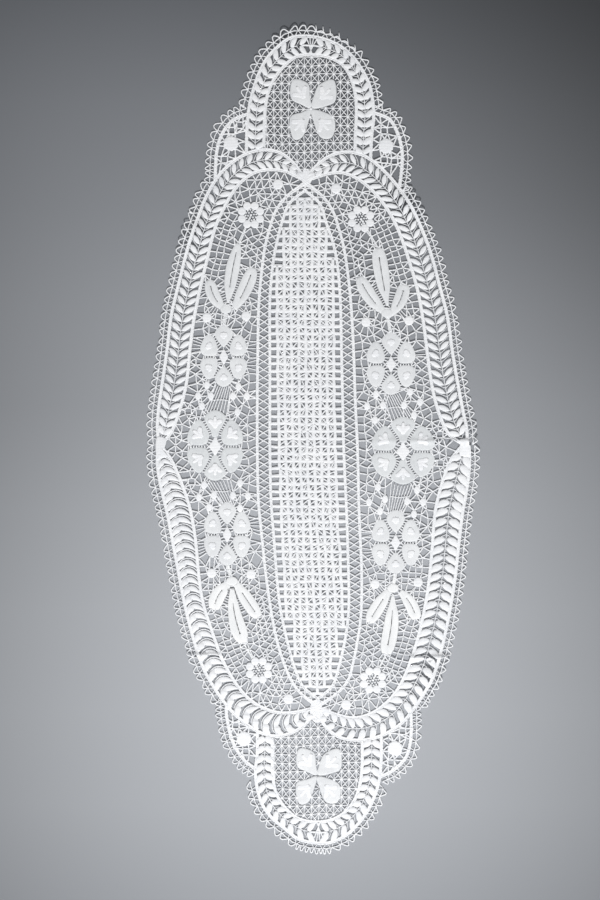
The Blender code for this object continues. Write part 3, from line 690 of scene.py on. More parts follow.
def addCaps(bag, cross, look):
    # arched woven pads that span the band, one behind the other, with a string between them
    marks = smoothed(np.array(look["path"]), 0.12)
    for s in alongBand(look["start"], cross[0][-1] - look["end"], look["pitch"]):
        path = inBand(cross, np.stack([s + marks[:, 0], marks[:, 1]], axis=1))
        along = lengthAlong(path)
        path = evenly(path, 1.3)
        places = np.linspace(0, along[-1], len(path))
        grow = np.interp(s, bandLook["farAlong"], look["swell"])
        grow *= 1.0 + bandLook["uneven"] * rng.standard_normal()
        half = np.interp(places, along, marks[:, 2]) * grow
        share = np.interp(places, along, marks[:, 1])
        depth, foldAt, reach = look["fold"]
        fold = 1.0 - depth * np.exp(-((share - foldAt) / reach) ** 2)
        addPad(bag, path, half, look["high"] * (0.6 + 0.4 * half / 2.75) * fold)
        string = inBand(cross, [(s + a, b) for a, b in look["string"]])
        addPlait(bag, smoothed(string, 1.5), 1.1, 0.6, 0.5, wobble=0.0)


# outlines of the dense knots where the tapes of two borders cross: at the sides, and at the ends
sideKnots = {
    "high": 1.25,
    "r": ((128.3, 5.2), (134.9, 5.2), (136.3, 0.0), (137.0, -6.1), (135.5, -10.2), (128.6, -9.0),
          (127.4, -4.3), (128.3, 0.9)),
    "l": ((-134.8, 6.5), (-126.5, 5.5), (-127.4, -1.7), (-128.3, -5.2), (-125.0, -9.8),
          (-134.4, -10.4)),
}
crossingKnots = {
    "high": 0.8,
    "u": ((-8.5, 236.5), (-4.5, 239.0), (-0.5, 237.0), (0.5, 232.0), (-1.5, 227.0), (-6.0, 226.0),
          (-9.5, 230.0)),
    "l": ((0.5, -221.5), (6.5, -221.5), (9.5, -230.5), (7.8, -239.5), (1.2, -239.5),
          (-2.0, -230.5)),
}
ovalLook = {"half": 1.3, "wide": 3.0, "high": 1.0, "pitch": 6.85, "plait": 1.2}
outerLeft, outerRight = ovalLines("centre_band", ovalLook["half"])
innerLeft, innerRight = ovalLines("centre_grid", ovalLook["half"])
outerTapes = {}
for corner in corners:
    bag = newBag()
    outer, inner = borderLines(corner)
    outerTapes[f"side_{corner}"] = outer
    addTape(bag, outer)
    addTape(bag, inner)
    cross = bandCross(outer, inner)
    if corner == "ll":
        addCaps(bag, cross, capLeaves)
    else:
        look = lowerLeaves if corner == "lr" else upperLeaves
        addVLeaves(bag, cross, look, look["start"], bandLook["end"])
    if corner[0] == "l":
        addShape(bag, roundedLoop(np.array(sideKnots[corner[1]]), 1.5), sideKnots["high"])
    if corner[1] == "r":
        addShape(bag, roundedLoop(np.array(crossingKnots[corner[0]]), 1.5), crossingKnots["high"])
    # the inner tape runs on over the crossing and joins the oval
    ends = np.array([inner[-8], inner[-1]])
    apex = outerLeft[0 if corner[0] == "u" else -1]
    side = outerRight if corner[1] == "l" else outerLeft
    joined = side[np.argmin(np.abs(np.linalg.norm(side - apex, axis=1) - 15.0))]
    bend = 0.5 * (ends[1] + apex) + (ends[1] - ends[0]) * 0.12
    addTape(bag, smoothed(np.array([ends[0], ends[1], bend, joined]), 1.5), level=0.25)
    makePiece(f"leafBorder_{corner}", bag, wovenTape, [f"border_{corner}"])

arcLeaves = {
    "pitch": 8.0, "start": 2.0, "shape": "arch", "high": 1.25, "stemWide": 0.9,
    "outer": {"slant": (6.2, 6.2), "wide": 5.0, "bow": 0.9, "from": 0.04, "to": 0.485},
    "inner": {"slant": (5.4, 5.4), "wide": 5.0, "bow": 0.9, "from": 0.96, "to": 0.515},
    "thread": (0.7, 0.5, 0.4), "over": 3.4, "plump": {"top": 1.0, "bottom": 1.14},
    "apexBars": (-4.4, -1.3, 1.6, 4.6), "apexRoom": 9.3, "apexShift": {"top": -2.2, "bottom": 2.6},
}
for end in ("top", "bottom"):
    bag = newBag()
    outer, inner = archLines(end)
    outerTapes[end] = outer
    addTape(bag, outer)
    addTape(bag, inner)
    cross = bandCross(outer, inner)
    top = cross[0][-1] / 2 + arcLeaves["apexShift"][end]
    look = dict(arcLeaves)
    for key in ("outer", "inner"):
        look[key] = {**arcLeaves[key], "wide": arcLeaves[key]["wide"] * arcLeaves["plump"][end]}
    for k in arcLeaves["apexBars"]:
        addPlait(bag, inBand(cross, [(top + k, 0.02), (top - k * 0.4, 0.98)]), 1.2, 0.8, 0.6)
    addPlait(bag, inBand(cross, [(top + 2.0 * k, 0.5) for k in range(-4, 5)]), 1.9, 1.0, 0.7)
    for turned in (1, -1):
        halves = [evenly(line[::turned], 2.0) for line in (outer, inner)]
        shift = round(0.5 * turned * arcLeaves["apexShift"][end])
        cross = bandCross(*[line[:len(line) // 2 + 1 + shift] for line in halves])
        stretch = cross[0][-1] - look["apexRoom"] - look["start"]
        look["pitch"] = (stretch / round(stretch / arcLeaves["pitch"]),) * 2
        addVLeaves(bag, cross, look, look["start"], look["apexRoom"] - 0.1)
    makePiece(f"leafArch_{end}", bag, wovenTape, [f"arch_{end}"])
print("borders made")


# picot edging
picotLook = {
    # (share of the pitch along, distance out) of one ear
    "tooth": ((-0.28, 6.3), (-0.08, 8.6), (0.08, 8.6), (0.28, 6.3), (0.5, 4.5)),
    "ear": ((-0.36, 6.4), (-0.14, 8.9), (0.14, 8.9), (0.36, 6.4), (0.5, 4.5)),
    "twin": ((-0.4, 6.5), (-0.3, 9.3), (-0.2, 9.3), (-0.1, 6.5), (0.0, 4.3), (0.1, 6.5),
             (0.2, 9.0), (0.3, 9.0), (0.4, 6.5), (0.5, 4.5)),
    "spike": ((-0.3, 5.2), (0.0, 6.2), (0.3, 5.2), (0.5, 3.8)),
    # x of the stretches whose ears are spikes or twins
    "spikesFrom": (3.5, 33.0), "twinsFrom": (-14.0, 13.0),
    "spikes": (3.0, 38.0, 6.1), "spikeFoot": 5.2, "spikeRun": (-0.5, 5.2),
    "wide": 1.2, "high": 0.9, "level": 0.55, "tipsBeyond": 8.7, "skew": 0.1, "uneven": 0.05,
    "head": 4.5, "headWide": 1.1, "legs": (0.06, 0.3), "legWide": 1.0, "legFoot": 1.2,
    # the ears are lower left of this x, most of all at this y, over this reach and by this share
    "low": (-92.0, 95.0, 45.0, 0.2),
    "extraEars": {"top": (2, 1), "bottom": (1, 1), "lobe": (1, 1), "side": (0, 0)},
}


def earKind(node, x):
    if node == "picots_top" and picotLook["spikesFrom"][0] < x < picotLook["spikesFrom"][1]:
        return "spike"
    if node == "picots_bottom" and picotLook["twinsFrom"][0] < x < picotLook["twinsFrom"][1]:
        return "twin"
    return "ear" if x < 0.0 else "tooth"


def addPicots(bag, node, tapeLine):
    # a zigzag of ears on a head thread, with pairs of legs down to the tape
    rim = nodeRims(node)[0][:, :2]
    gaps = distanceTo(rim, tapeLine[:-1], tapeLine[1:])
    tips = rim[gaps > picotLook["tipsBeyond"]]
    along = lengthAlong(tapeLine)
    feet = np.array([along[np.argmin(np.linalg.norm(tapeLine - tip, axis=1))] for tip in tips])
    order = np.argsort(feet)
    feet, tips = feet[order], tips[order]
    normals = leftOf(tapeLine)
    half = len(feet) // 2
    outwards = np.sign((tips[half] - pointsAt(tapeLine, [feet[half]])[0])
                       @ normals[np.argmin(np.abs(along - feet[half]))])
    pitch = np.median(np.diff(feet))
    before, after = picotLook["extraEars"][node.split("_")[1]]
    feet = np.concatenate([feet[0] - pitch * np.arange(before, 0, -1), feet,
                           feet[-1] + pitch * np.arange(1, after + 1)])
    missing = 0.5 * (feet[1:] + feet[:-1])[np.diff(feet) > 1.5 * pitch]
    feet = np.sort(np.concatenate([feet, missing]))

    def place(marks):
        marks = np.asarray(marks)
        n = valuesAt(along, normals, marks[:, 0]) * outwards
        beyond = np.minimum(marks[:, 0], 0.0) + np.maximum(marks[:, 0] - along[-1], 0.0)
        run = np.where(beyond[:, None] < 0, tapeLine[1] - tapeLine[0], tapeLine[-1] - tapeLine[-2])
        run = run / np.linalg.norm(run, axis=1, keepdims=True)
        return pointsAt(tapeLine, marks[:, 0]) + run * beyond[:, None] + n * marks[:, 1:2]

    head = picotLook["head"]
    inner, outer = picotLook["legs"]
    lowX, lowY, lowReach, lowShare = picotLook["low"]
    path = [(feet[0] - 0.5 * pitch, head)]
    heads = list(path)
    for k, s in enumerate(feet):
        before = 0.5 * (feet[k - 1] + s) if k else s - 0.5 * pitch
        after = 0.5 * (feet[k + 1] + s) if k + 1 < len(feet) else s + 0.5 * pitch
        x, y = pointsAt(tapeLine, [s])[0]
        kind = earKind(node, x)
        skew = picotLook["skew"] * rng.standard_normal()
        tall = 1.0 + picotLook["uneven"] * rng.standard_normal()
        if x < lowX:
            tall -= lowShare * math.exp(-((y - lowY) / lowReach) ** 2)
        for share, out in picotLook[kind]:
            lean = skew * max(0.0, out - head) / 4.0 if share < 0.5 else 0.0
            reach = (after - s) if share > 0 else (s - before)
            out = head + (out - head) * tall if out > head else out
            path.append((s + 2.0 * (share + lean) * reach, out))
        heads += [(s, head + 0.5), (after, head - 0.1)]
        for way in (-1, 1):
            leg = place([(after + way * outer * pitch, picotLook["legFoot"]),
                         (after + way * inner * pitch, head)])
            addPlait(bag, leg, picotLook["legWide"], 0.8, 0.5, wobble=0.0, sides=4)
    addPlait(bag, smoothed(place(path), 1.0), picotLook["wide"], picotLook["high"],
             picotLook["level"], step=1.1, wobble=0.0)
    addPlait(bag, smoothed(place(heads), 1.5), picotLook["headWide"], 0.8, 0.5, wobble=0.0)
    if node == "picots_top":
        for x in np.arange(*picotLook["spikes"]):
            nearest = along[np.argmin(np.abs(tapeLine[:, 0] - x))]
            foot = place([(nearest, picotLook["spikeFoot"])])[0]
            addPlait(bag, [foot, foot + picotLook["spikeRun"]], picotLook["legWide"], 0.8, 0.6)


# middle oval and its lattice band
bag = newBag()
for line in (outerLeft, outerRight, innerLeft, innerRight):
    addTape(bag, line, ovalLook["wide"], ovalLook["high"])
for outer, inner in ((outerLeft, innerLeft), (outerRight, innerRight)):
    total = lengthAlong(outer)[-1]
    count = int(total / ovalLook["pitch"])
    a = pointsAt(outer, np.linspace(0, total, count + 1))
    fine = evenly(inner, 0.5)
    b = np.array([fine[np.argmin(np.linalg.norm(fine - p, axis=1))] for p in a])
    for k in range(count):
        if np.linalg.norm(a[k] - b[k]) > 3.5:
            addPlait(bag, [a[k], b[k + 1]], ovalLook["plait"])
            addPlait(bag, [b[k], a[k + 1]], ovalLook["plait"])
makePiece("ovalBand", bag, netPlait, ["centre_band"])
print("oval made")


# open-square centre
gridLook = {
    "columns": 9, "across": 6.07, "down": 6.5, "bar": 3.45, "barHigh": 1.0, "barPoints": 7,
    "room": (2.3, 0.8), "roomFrom": (140.0, 185.0), "uneven": 0.3, "unevenBar": 0.06,
    # the threads that cross a square: width, half their run, how often they lean left, and how
    # often a second, thinner one lies under the first
    "cross": 1.35, "crossRun": (2.3, 2.5), "leftShare": 0.55, "thin": 0.8, "thinShare": 0.4,
}


def atY(line, y):
    order = np.argsort(line[:, 1])
    return np.interp(y, line[order, 1], line[order, 0])


def addPuffed(bag, line, pitch, wide, high, level, crossingAt=0.0):
    # a cloth-stitch bar that puffs up between its crossings
    line = evenly(smoothed(line, pitch / 8), pitch / 4)
    swell = np.sin(math.pi * (lengthAlong(line) - crossingAt) / pitch) ** 2
    v = np.linspace(-1.0, 1.0, gridLook["barPoints"])
    crown = np.clip(1.0 - (0.95 * v) ** 2, 0.0, 1.0) ** 0.45
    side = leftOf(line)
    across = 0.5 * wide * (0.82 + 0.18 * swell)[:, None] * v[None, :]
    rings = np.empty((len(line), len(v), 3))
    rings[..., :2] = line[:, None, :] + side[:, None, :] * across[..., None]
    rings[..., 2] = level + (high * (0.7 + 0.3 * swell))[:, None] * crown[None, :]
    addLoft(bag, rings)


bag = newBag()
topY, bottomY = innerLeft[:, 1].max(), innerLeft[:, 1].min()
rows = np.arange(bottomY + 5.0, topY - 4.0, gridLook["down"])
leftSide = atY(innerLeft, rows) + ovalLook["half"]
rightSide = atY(innerRight, rows) - ovalLook["half"]
gridMiddle = np.pad(0.5 * (leftSide + rightSide), 8, mode="reflect", reflect_type="odd")
gridMiddle = np.convolve(gridMiddle, np.ones(17) / 17, mode="valid")
room = np.interp(np.abs(rows), gridLook["roomFrom"], gridLook["room"])
fromMiddle = np.arange(gridLook["columns"]) - 0.5 * (gridLook["columns"] - 1)
columns = gridMiddle[None, :] + fromMiddle[:, None] * gridLook["across"]
fits = (columns > leftSide + room) & (columns < rightSide - room)
crossings = np.stack([columns, np.broadcast_to(rows, columns.shape)], axis=-1)
crossings = crossings + gridLook["uneven"] * rng.standard_normal(crossings.shape)
for k, (y, left, right) in enumerate(zip(rows, leftSide, rightSide)):
    if right - left > 2.0:
        bar = np.concatenate([[[left - 0.8, y]], crossings[fits[:, k], k], [[right + 0.8, y]]])
        first = bar[1, 0] - bar[0, 0] if len(bar) > 2 else 0.0
        wide = gridLook["bar"] * (1.0 + gridLook["unevenBar"] * rng.standard_normal())
        addPuffed(bag, bar, gridLook["across"], wide, gridLook["barHigh"], 0.1, crossingAt=first)
for j in range(gridLook["columns"]):
    if fits[j].sum() > 1:
        addPuffed(bag, crossings[j, fits[j]], gridLook["down"], gridLook["bar"],
                  gridLook["barHigh"], 0.2)
crossX, crossY = gridLook["crossRun"]
for j in range(gridLook["columns"] - 1):
    for k in range(len(rows) - 1):
        if fits[j:j + 2, k:k + 2].all():
            hole = crossings[j:j + 2, k:k + 2].reshape(-1, 2).mean(axis=0)
            way = 1.0 if rng.random() < gridLook["leftShare"] else -1.0
            reach = np.array([crossX, crossY * way]) + 0.5 * rng.standard_normal(2)
            addPlait(bag, [hole - reach, hole + reach], gridLook["cross"], 0.8, 0.6, wobble=0.0)
            if rng.random() < gridLook["thinShare"]:
                reach = np.array([crossX, -crossY * way])
                addPlait(bag, [hole - reach, hole + reach], gridLook["thin"], 0.5, 0.4, wobble=0.0,
                         sides=4)
makePiece("openSquares", bag, raisedWork, ["centre_grid"])
print("centre made")


# motifs
def nodeMiddle(node):
    # middle and size of a node, seen from above
    low, high = [np.array(place[:2]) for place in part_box(node)]
    return (low + high) / 2 / mm, (high - low) / mm


# (kind, outline) of every motif, for the net that meets it
outlines = {"l": [], "r": [], "top": [], "bottom": []}

# petals of the upper right quarter, in halves of the flower's size; the others mirror them
petalShapes = {
    "large": {
        "end": ((0.0, 1.0), (0.24, 0.93), (0.38, 0.79), (0.28, 0.6), (0.14, 0.42), (0.09, 0.27),
                (-0.09, 0.27), (-0.14, 0.42), (-0.28, 0.6), (-0.38, 0.79), (-0.24, 0.93)),
        "side": ((0.62, 0.73), (0.84, 0.56), (0.98, 0.27), (0.95, 0.12), (0.83, 0.05), (0.5, 0.035),
                 (0.33, 0.065), (0.24, 0.18), (0.23, 0.36), (0.37, 0.58), (0.5, 0.72)),
        "core": ((0.0, 0.27), (0.1, 0.14), (0.21, 0.0), (0.1, -0.15), (0.0, -0.28), (-0.1, -0.15),
                 (-0.21, 0.0), (-0.1, 0.14)),
    },
    "small": {
        "end": ((0.0, 1.0), (0.22, 0.93), (0.37, 0.76), (0.3, 0.58), (0.12, 0.4), (0.0, 0.31),
                (-0.12, 0.4), (-0.3, 0.58), (-0.37, 0.76), (-0.22, 0.93)),
        "side": ((0.62, 0.71), (0.8, 0.62), (0.96, 0.36), (0.97, 0.2), (0.86, 0.07), (0.6, 0.035),
                 (0.37, 0.05), (0.27, 0.14), (0.28, 0.34), (0.42, 0.6)),
        "core": ((0.0, 0.26), (0.1, 0.13), (0.19, 0.0), (0.1, -0.13), (0.0, -0.26), (-0.1, -0.13),
                 (-0.19, 0.0), (-0.1, 0.13)),
    },
}
fourPetals = (
    ((0.02, 0.02), (0.1, 0.45), (0.33, 0.82), (0.92, 0.97), (1.0, 0.3), (0.62, 0.09)),
    ((-0.02, 0.02), (-0.06, 0.45), (-0.15, 0.86), (-0.76, 0.98), (-0.84, 0.36), (-0.42, 0.14)),
    ((-0.02, -0.02), (-0.4, -0.12), (-0.88, -0.3), (-0.76, -1.0), (-0.36, -0.95), (-0.12, -0.45)),
    ((0.02, -0.02), (0.08, -0.42), (0.35, -0.95), (0.81, -0.98), (0.98, -0.58), (0.8, -0.22)),
)
flowerLook = {
    "high": 0.95, "grow": 0.3,
    # turn, length, width and bow of each prong
    "prongs": ((-0.72, 9.3, 4.9, 1.3), (0.0, 10.4, 3.6, 0.0), (0.72, 9.3, 4.9, -1.3)),
    # of the prongs: height, how far behind the petal's middle they start, and size
    "tulips": {"large": (0.65, 4.8, 1.0), "small": (0.65, 2.8, 0.55), "end": (0.35, 5.0, 1.2)},
}


def addProngs(bag, petal, flowerMiddle, kind):
    # a raised tulip of three prongs, worked over the petal
    high, behind, share = flowerLook["tulips"][kind]
    centre = petal.mean(axis=0)
    direction = unit(centre - flowerMiddle)
    root = centre - direction * behind
    for turn, long, wide, bow in flowerLook["prongs"]:
        c, s = math.cos(turn), math.sin(turn)
        d = np.array([direction[0] * c - direction[1] * s, direction[0] * s + direction[1] * c])
        addLeaf(bag, root, root + d * long * share, wide, high, bow, "prong",
                level=flowerLook["high"] - 0.05, crownPower=0.6)


flowerNames = {"l": ("flower_large_left", "flower_small_ul", "flower_small_ll"),
               "r": ("flower_large_right", "flower_small_ur", "flower_small_lr")}
for side, names in flowerNames.items():
    for name in names:
        bag, tulips = newBag(), newBag()
        middle, size = nodeMiddle(name)
        kind = "large" if "large" in name else "small"
        parts = petalShapes[kind]
        petals = [(parts["end"], 1, 1), (parts["end"], 1, -0.95)]
        petals += [(parts["side"], flipX, flipY) for flipX in (1, -1) for flipY in (1, -1)]
        for part, flipX, flipY in petals:
            outline = roundedLoop(middle + np.array(part) * (flipX, flipY) * 0.5 * size, 2.0)
            outline = outline + closedNormals(outline) * flowerLook["grow"]
            addShape(bag, outline, flowerLook["high"])
            outlines[side].append(("flower", outline))
            addProngs(tulips, outline, middle, kind)
        core = roundedLoop(middle + np.array(parts["core"]) * 0.5 * size, 1.6)
        addShape(tulips, core, flowerLook["high"])
        outlines[side].append(("core", core))
        stitch = openStitch if kind == "large" else clothStitch
        makePiece(name.replace("flower", "blossom"), bag, stitch, [name])
        makePiece(name.replace("flower", "tulips"), tulips, raisedWork, [])

for end in ("top", "bottom"):
    bag, tulips = newBag(), newBag()
    middle, size = nodeMiddle(f"flower_end_{end}")
    for petal in fourPetals:
        outline = roundedLoop(middle + np.array(petal) * 0.5 * size, 2.0)
        addShape(bag, outline, flowerLook["high"])
        outlines[end].append(("flower", outline))
        addProngs(tulips, outline, middle, "end")
    makePiece(f"blossom_end_{end}", bag, clothStitch, [f"flower_end_{end}"])
    makePiece(f"tulips_end_{end}", tulips, raisedWork, [])

# leaf sprays: the foot of the stems, and the base, tip, width, bow (to the left, seen from the
# base) and shape of each leaf
sprays = {
    "ul": {"foot": (-74.6, 117.9),
           "leaves": (((-76.5, 118.3), (-89.0, 143.3), 12.0, 2.6, "fat"),
                      ((-72.8, 123.1), (-63.6, 175.6), 12.6, 1.2, "low"),
                      ((-67.6, 117.9), (-50.7, 154.2), 13.2, -1.2, "fat"))},
    "ur": {"foot": (65.0, 114.4),
           "leaves": (((62.4, 115.3), (40.7, 146.0), 13.2, 2.0, "fat"),
                      ((65.5, 120.5), (56.9, 171.6), 14.1, 0.3, "long"),
                      ((68.5, 113.6), (80.2, 139.5), 12.6, -2.2, "blunt"))},
    "ll": {"foot": (-69.4, -117.9),
           "leaves": (((-72.3, -120.0), (-85.3, -142.8), 13.6, -2.8, "fat"),
                      ((-69.4, -124.0), (-59.2, -171.7), 14.9, -2.4, "wedge"),
                      ((-65.9, -119.6), (-46.0, -149.6), 12.8, 0.0, "fat"))},
    "lr": {"foot": (70.2, -124.0),
           "leaves": (((66.8, -125.7), (48.9, -153.9), 12.8, -0.4, "fat"),
                      ((70.2, -129.2), (63.7, -182.1), 14.2, 1.7, "long"),
                      ((76.3, -126.6), (90.6, -150.8), 11.8, 2.3, "blunt"))},
}
sprayLook = {"high": 1.1, "overlap": 0.05, "groove": (0.2, 0.86), "stem": 3.6, "tipStem": 1.8,
             "footHalf": (5.2, 4.0)}


def addSplitLeaf(bag, base, tip, wide, shape, high, bow):
    # a long leaf worked in two halves, with a groove between them for a vein
    u = np.linspace(0.0, 1.0, 21)
    axis = bowed(base, tip, bow, len(u))
    side = leftOf(axis)
    half = 0.5 * wide * leafHalf(shape, u)
    grooved = (u > sprayLook["groove"][0]) & (u < sprayLook["groove"][1])
    over = np.where(grooved, sprayLook["overlap"], 0.6 * half)
    height = high * np.minimum(1.0, 0.5 + 0.6 * half / half.max())
    for way in (-1.0, 1.0):
        middle = axis + side * (way * 0.5 * (half - over))[:, None]
        addPad(bag, middle, 0.5 * (half + over), height)
    left, right = axis + side * half[:, None], axis - side * half[:, None]
    return anticlockwise(np.concatenate([left[:-1], right[::-1][:-1]]))


spines = {}  # from each small flower over the spray to the border, in order of y
for corner in corners:
    bag = newBag()
    foot = np.array(sprays[corner]["foot"])
    for base, tip, wide, bow, shape in sprays[corner]["leaves"]:
        leaf = addSplitLeaf(bag, base, tip, wide, shape, sprayLook["high"], bow)
        outlines[corner[1]].append(("leaf", leaf))
    addShape(bag, roundOutline(*foot, *sprayLook["footHalf"], 14), sprayLook["high"])
    flower, size = nodeMiddle(f"flower_small_{corner}")
    rosette, _ = nodeMiddle(f"rosette_{corner}")
    upwards = 1.0 if corner[0] == "u" else -1.0
    stemTop = flower + np.array([0.0, 0.45 * size[1] * upwards])
    addTape(bag, np.array([stemTop, foot]), sprayLook["stem"])
    middleTip = np.array(sprays[corner]["leaves"][1][1])
    addTape(bag, np.array([middleTip, rosette]), sprayLook["tipStem"], 0.9)
    spine = np.array([flower, foot, middleTip, rosette, borderLines(corner)[1][-1]])
    spines[corner] = spine[np.argsort(spine[:, 1])]
    # the lower sprays take the cloth stitch lightened as painted light
    stitch = clothStitch if corner[0] == "u" else paintedLitStitch
    makePiece(f"leafSpray_{corner}", bag, stitch, [f"leaves_{corner}"])

rosetteLook = {"high": 1.2, "lobes": 8, "lobeMiddle": 8.5, "lobeHalf": (3.6, 3.6), "outside": 11.9,
               "beads": ((6, 2.6), (12, 4.6)), "beadHalf": 0.85, "beadHigh": 1.1, "coreHalf": 1.1}
for corner in corners:
    bag = newBag()
    middle, _ = nodeMiddle(f"rosette_{corner}")
    for k in range(rosetteLook["lobes"]):
        angle = 2 * math.pi * (k + 0.5) / rosetteLook["lobes"]
        c, s = math.cos(angle), math.sin(angle)
        petal = roundOutline(rosetteLook["lobeMiddle"], 0.0, *rosetteLook["lobeHalf"])
        addShape(bag, middle + petal @ np.array([[c, s], [-s, c]]), rosetteLook["high"])
    for beads, ring in rosetteLook["beads"]:
        for k in range(beads):
            angle = 2 * math.pi * (k + 0.2) / beads
            place = middle + np.array([math.cos(angle), math.sin(angle)]) * ring
            bead = roundOutline(*place, rosetteLook["beadHalf"], rosetteLook["beadHalf"], 7)
            addShape(bag, bead, rosetteLook["beadHigh"])
    core = roundOutline(*middle, rosetteLook["coreHalf"], rosetteLook["coreHalf"], 9)
    addShape(bag, core, rosetteLook["high"])
    edge = roundOutline(*middle, rosetteLook["outside"], rosetteLook["outside"], 24)
    outlines[corner[1]].append(("rosette", edge))
    makePiece(f"rosetteWork_{corner}", bag, raisedWork, [f"rosette_{corner}"])

spotKinds = ("outer", "inner", "crossing")
spotHigh = 1.3
for kind in spotKinds:
    for corner in corners:
        bag = newBag()
        middle, size = nodeMiddle(f"spot_{kind}_{corner}")
        outline = roundOutline(*middle, *(size / 2), 18)
        addShape(bag, outline, spotHigh)
        outlines[corner[1]].append(("spot", outline))
        makePiece(f"spot_{kind}Work_{corner}", bag, raisedWork,
                  [f"spot_{kind}_{corner}"])

# small spots between the flowers, in fours
clusterLook = {"halfWide": 2.7, "halfTall": 3.6, "high": 1.15}
clusters = {
    "l": ((-91.0, 52.0), (-98.8, 42.5), (-87.6, 42.5), (-95.4, 33.8),
          (-63.7, 50.7), (-56.4, 42.5), (-68.5, 42.5), (-64.6, 28.6),
          (-93.6, -34.7), (-98.0, -45.1), (-85.0, -43.4), (-89.3, -53.8),
          (-62.4, -32.9), (-68.5, -43.4), (-55.5, -44.2), (-62.4, -54.6)),
    "r": ((55.5, 44.2), (47.7, 33.8), (61.6, 34.7), (54.6, 21.7),
          (85.0, 46.0), (79.8, 34.7), (93.6, 37.3), (88.4, 26.0),
          (57.2, -36.4), (49.4, -49.4), (63.3, -46.8), (59.0, -57.2),
          (91.0, -39.0), (82.4, -48.6), (96.2, -49.4), (88.4, -59.8)),
}
smallSpots = {"l": newBag(), "r": newBag()}
for side, places in clusters.items():
    for x, y in places:
        outline = roundOutline(x, y, clusterLook["halfWide"], clusterLook["halfTall"], 14)
        addShape(smallSpots[side], outline, clusterLook["high"])
        outlines[side].append(("small", outline))
print("motifs made")


# plaited ground
groundLook = {
    "rimStep": 7.0, "shapeStep": 4.6, "clear": 2.6, "apart": 4.0, "tuck": 0.7,
    # spacing of the hubs: squares beside the border, triangles beside the leaves and the flowers
    "square": (5.3, 5.5), "leafZone": 5.9, "flowerZone": 7.2, "rowShare": 0.8,
    "uneven": {"square": 0.25, "leafZone": 0.5, "flowerZone": 0.7},
    # the y to which the flowers, the squares and the open ends reach
    "flowersTo": 104.0, "squaresTo": 205.0, "endFrom": 195.0, "besideSpine": 3.0,
    # share of the pairs of triangles that lose the plait between them
    "drop": {"flowers": 0.9, "squares": 1.0, "ends": 0.3},
    "legStep": 2.2, "legWide": 0.9, "petalLegWide": 1.2, "legHigh": 0.7, "tuckLeg": 0.4,
    "besideCrossing": {"l": ((-15.5, 229.5), (-21.5, 226.0), (-9.5, -226.5), (-14.5, -221.5)),
                       "r": ((5.5, 229.5), (11.0, 226.0), (14.5, -226.0), (20.0, -223.0))},
}
# how long the short threads round each motif may be
legLimits = {"flower": 8.5, "core": 5.0, "spot": 5.0, "small": 5.5, "leaf": 4.2, "rosette": 3.5,
             "disc": 4.0, "leafToSpot": 8.5}


def ringOf(loop, step):
    return evenly(np.concatenate([loop, loop[:1]]), step)[:-1]


def segmentsOf(loops):
    starts = np.concatenate(loops)
    ends = np.concatenate([np.roll(loop, -1, axis=0) for loop in loops])
    owner = np.concatenate([np.full(len(loop), k) for k, loop in enumerate(loops)])
    return starts, ends, owner


def addLegs(bag, rim, shapes):
    # short threads square to a motif's edge, to the tape or motif beside it; gives the areas
    # that they fill
    loops = [rim] + [shape for _, shape in shapes]
    starts, ends, owner = segmentsOf(loops)
    areas = []
    for number, (kind, shape) in enumerate(shapes, start=1):
        line = ringOf(shape, groundLook["legStep"])
        normal = closedNormals(line)
        others = owner != number
        reach, struck = castRays(line, normal, starts[others], ends[others])
        struck = owner[others][struck]
        limit = np.full(len(line), legLimits[kind])
        if kind in ("leaf", "spot"):
            beside = [k > 0 and {kind, shapes[k - 1][0]} == {"leaf", "spot"} for k in struck]
            limit = np.where(beside, legLimits["leafToSpot"], limit)
        inOther = np.zeros(len(line), bool)
        for other, (_, loop) in enumerate(shapes, start=1):
            if other != number:
                inOther |= insideLoop(line, loop)
        drawn = (reach < limit) & ~inOther
        previous = None
        for k in range(len(line) + 1):
            k %= len(line)
            here = (line[k], line[k] + normal[k] * reach[k]) if drawn[k] else None
            if here is not None and previous is not None:
                areas.append(np.array([previous[0], previous[1], here[1], here[0]]))
            previous = here
        for k in np.flatnonzero(drawn & (reach > 0.8)):
            if struck[k] > number or struck[k] == 0:  # each pair of motifs is joined once
                between = kind in ("flower", "core") and struck[k] > 0
                wide = groundLook["petalLegWide" if between else "legWide"]
                leg = [line[k] - normal[k] * groundLook["tuckLeg"],
                       line[k] + normal[k] * (reach[k] + groundLook["tuckLeg"])]
                addPlait(bag, leg, wide, groundLook["legHigh"], 0.5, wobble=0.05)
    return areas


bridgeLook = {"threads": 8, "atLarge": 10.0, "atSmall": 6.5, "sag": (3.2, 1.8), "wide": 1.0,
              "tieWide": 0.9, "high": 0.7, "tuck": 0.6}


def addBridges(bag, side):
    # close, nearly parallel threads from the large flower to the small ones above and below it
    large, small, lower = [nodeMiddle(name) for name in flowerNames[side]]
    found = []
    for (middle, size), way in ((small, 1.0), (lower, -1.0)):
        t = np.linspace(-1.0, 1.0, bridgeLook["threads"])
        fromLarge = 0.5 * large[1][1] - bridgeLook["sag"][0] * t * t
        fromSmall = 0.48 * size[1] - bridgeLook["sag"][1] * t * t
        a = large[0] + np.stack([t * bridgeLook["atLarge"], way * fromLarge], axis=1)
        b = middle - np.stack([-t * bridgeLook["atSmall"], way * fromSmall], axis=1)
        tuck = (0, way * bridgeLook["tuck"])
        for k in range(len(t)):
            addPlait(bag, [a[k] - tuck, b[k] + tuck], bridgeLook["wide"], bridgeLook["high"], 0.5,
                     wobble=0.1)
        addPlait(bag, 0.55 * a + 0.45 * b, bridgeLook["tieWide"], bridgeLook["high"], 0.7)
        found.append(anticlockwise(np.concatenate([a, b[::-1]])))
    return found


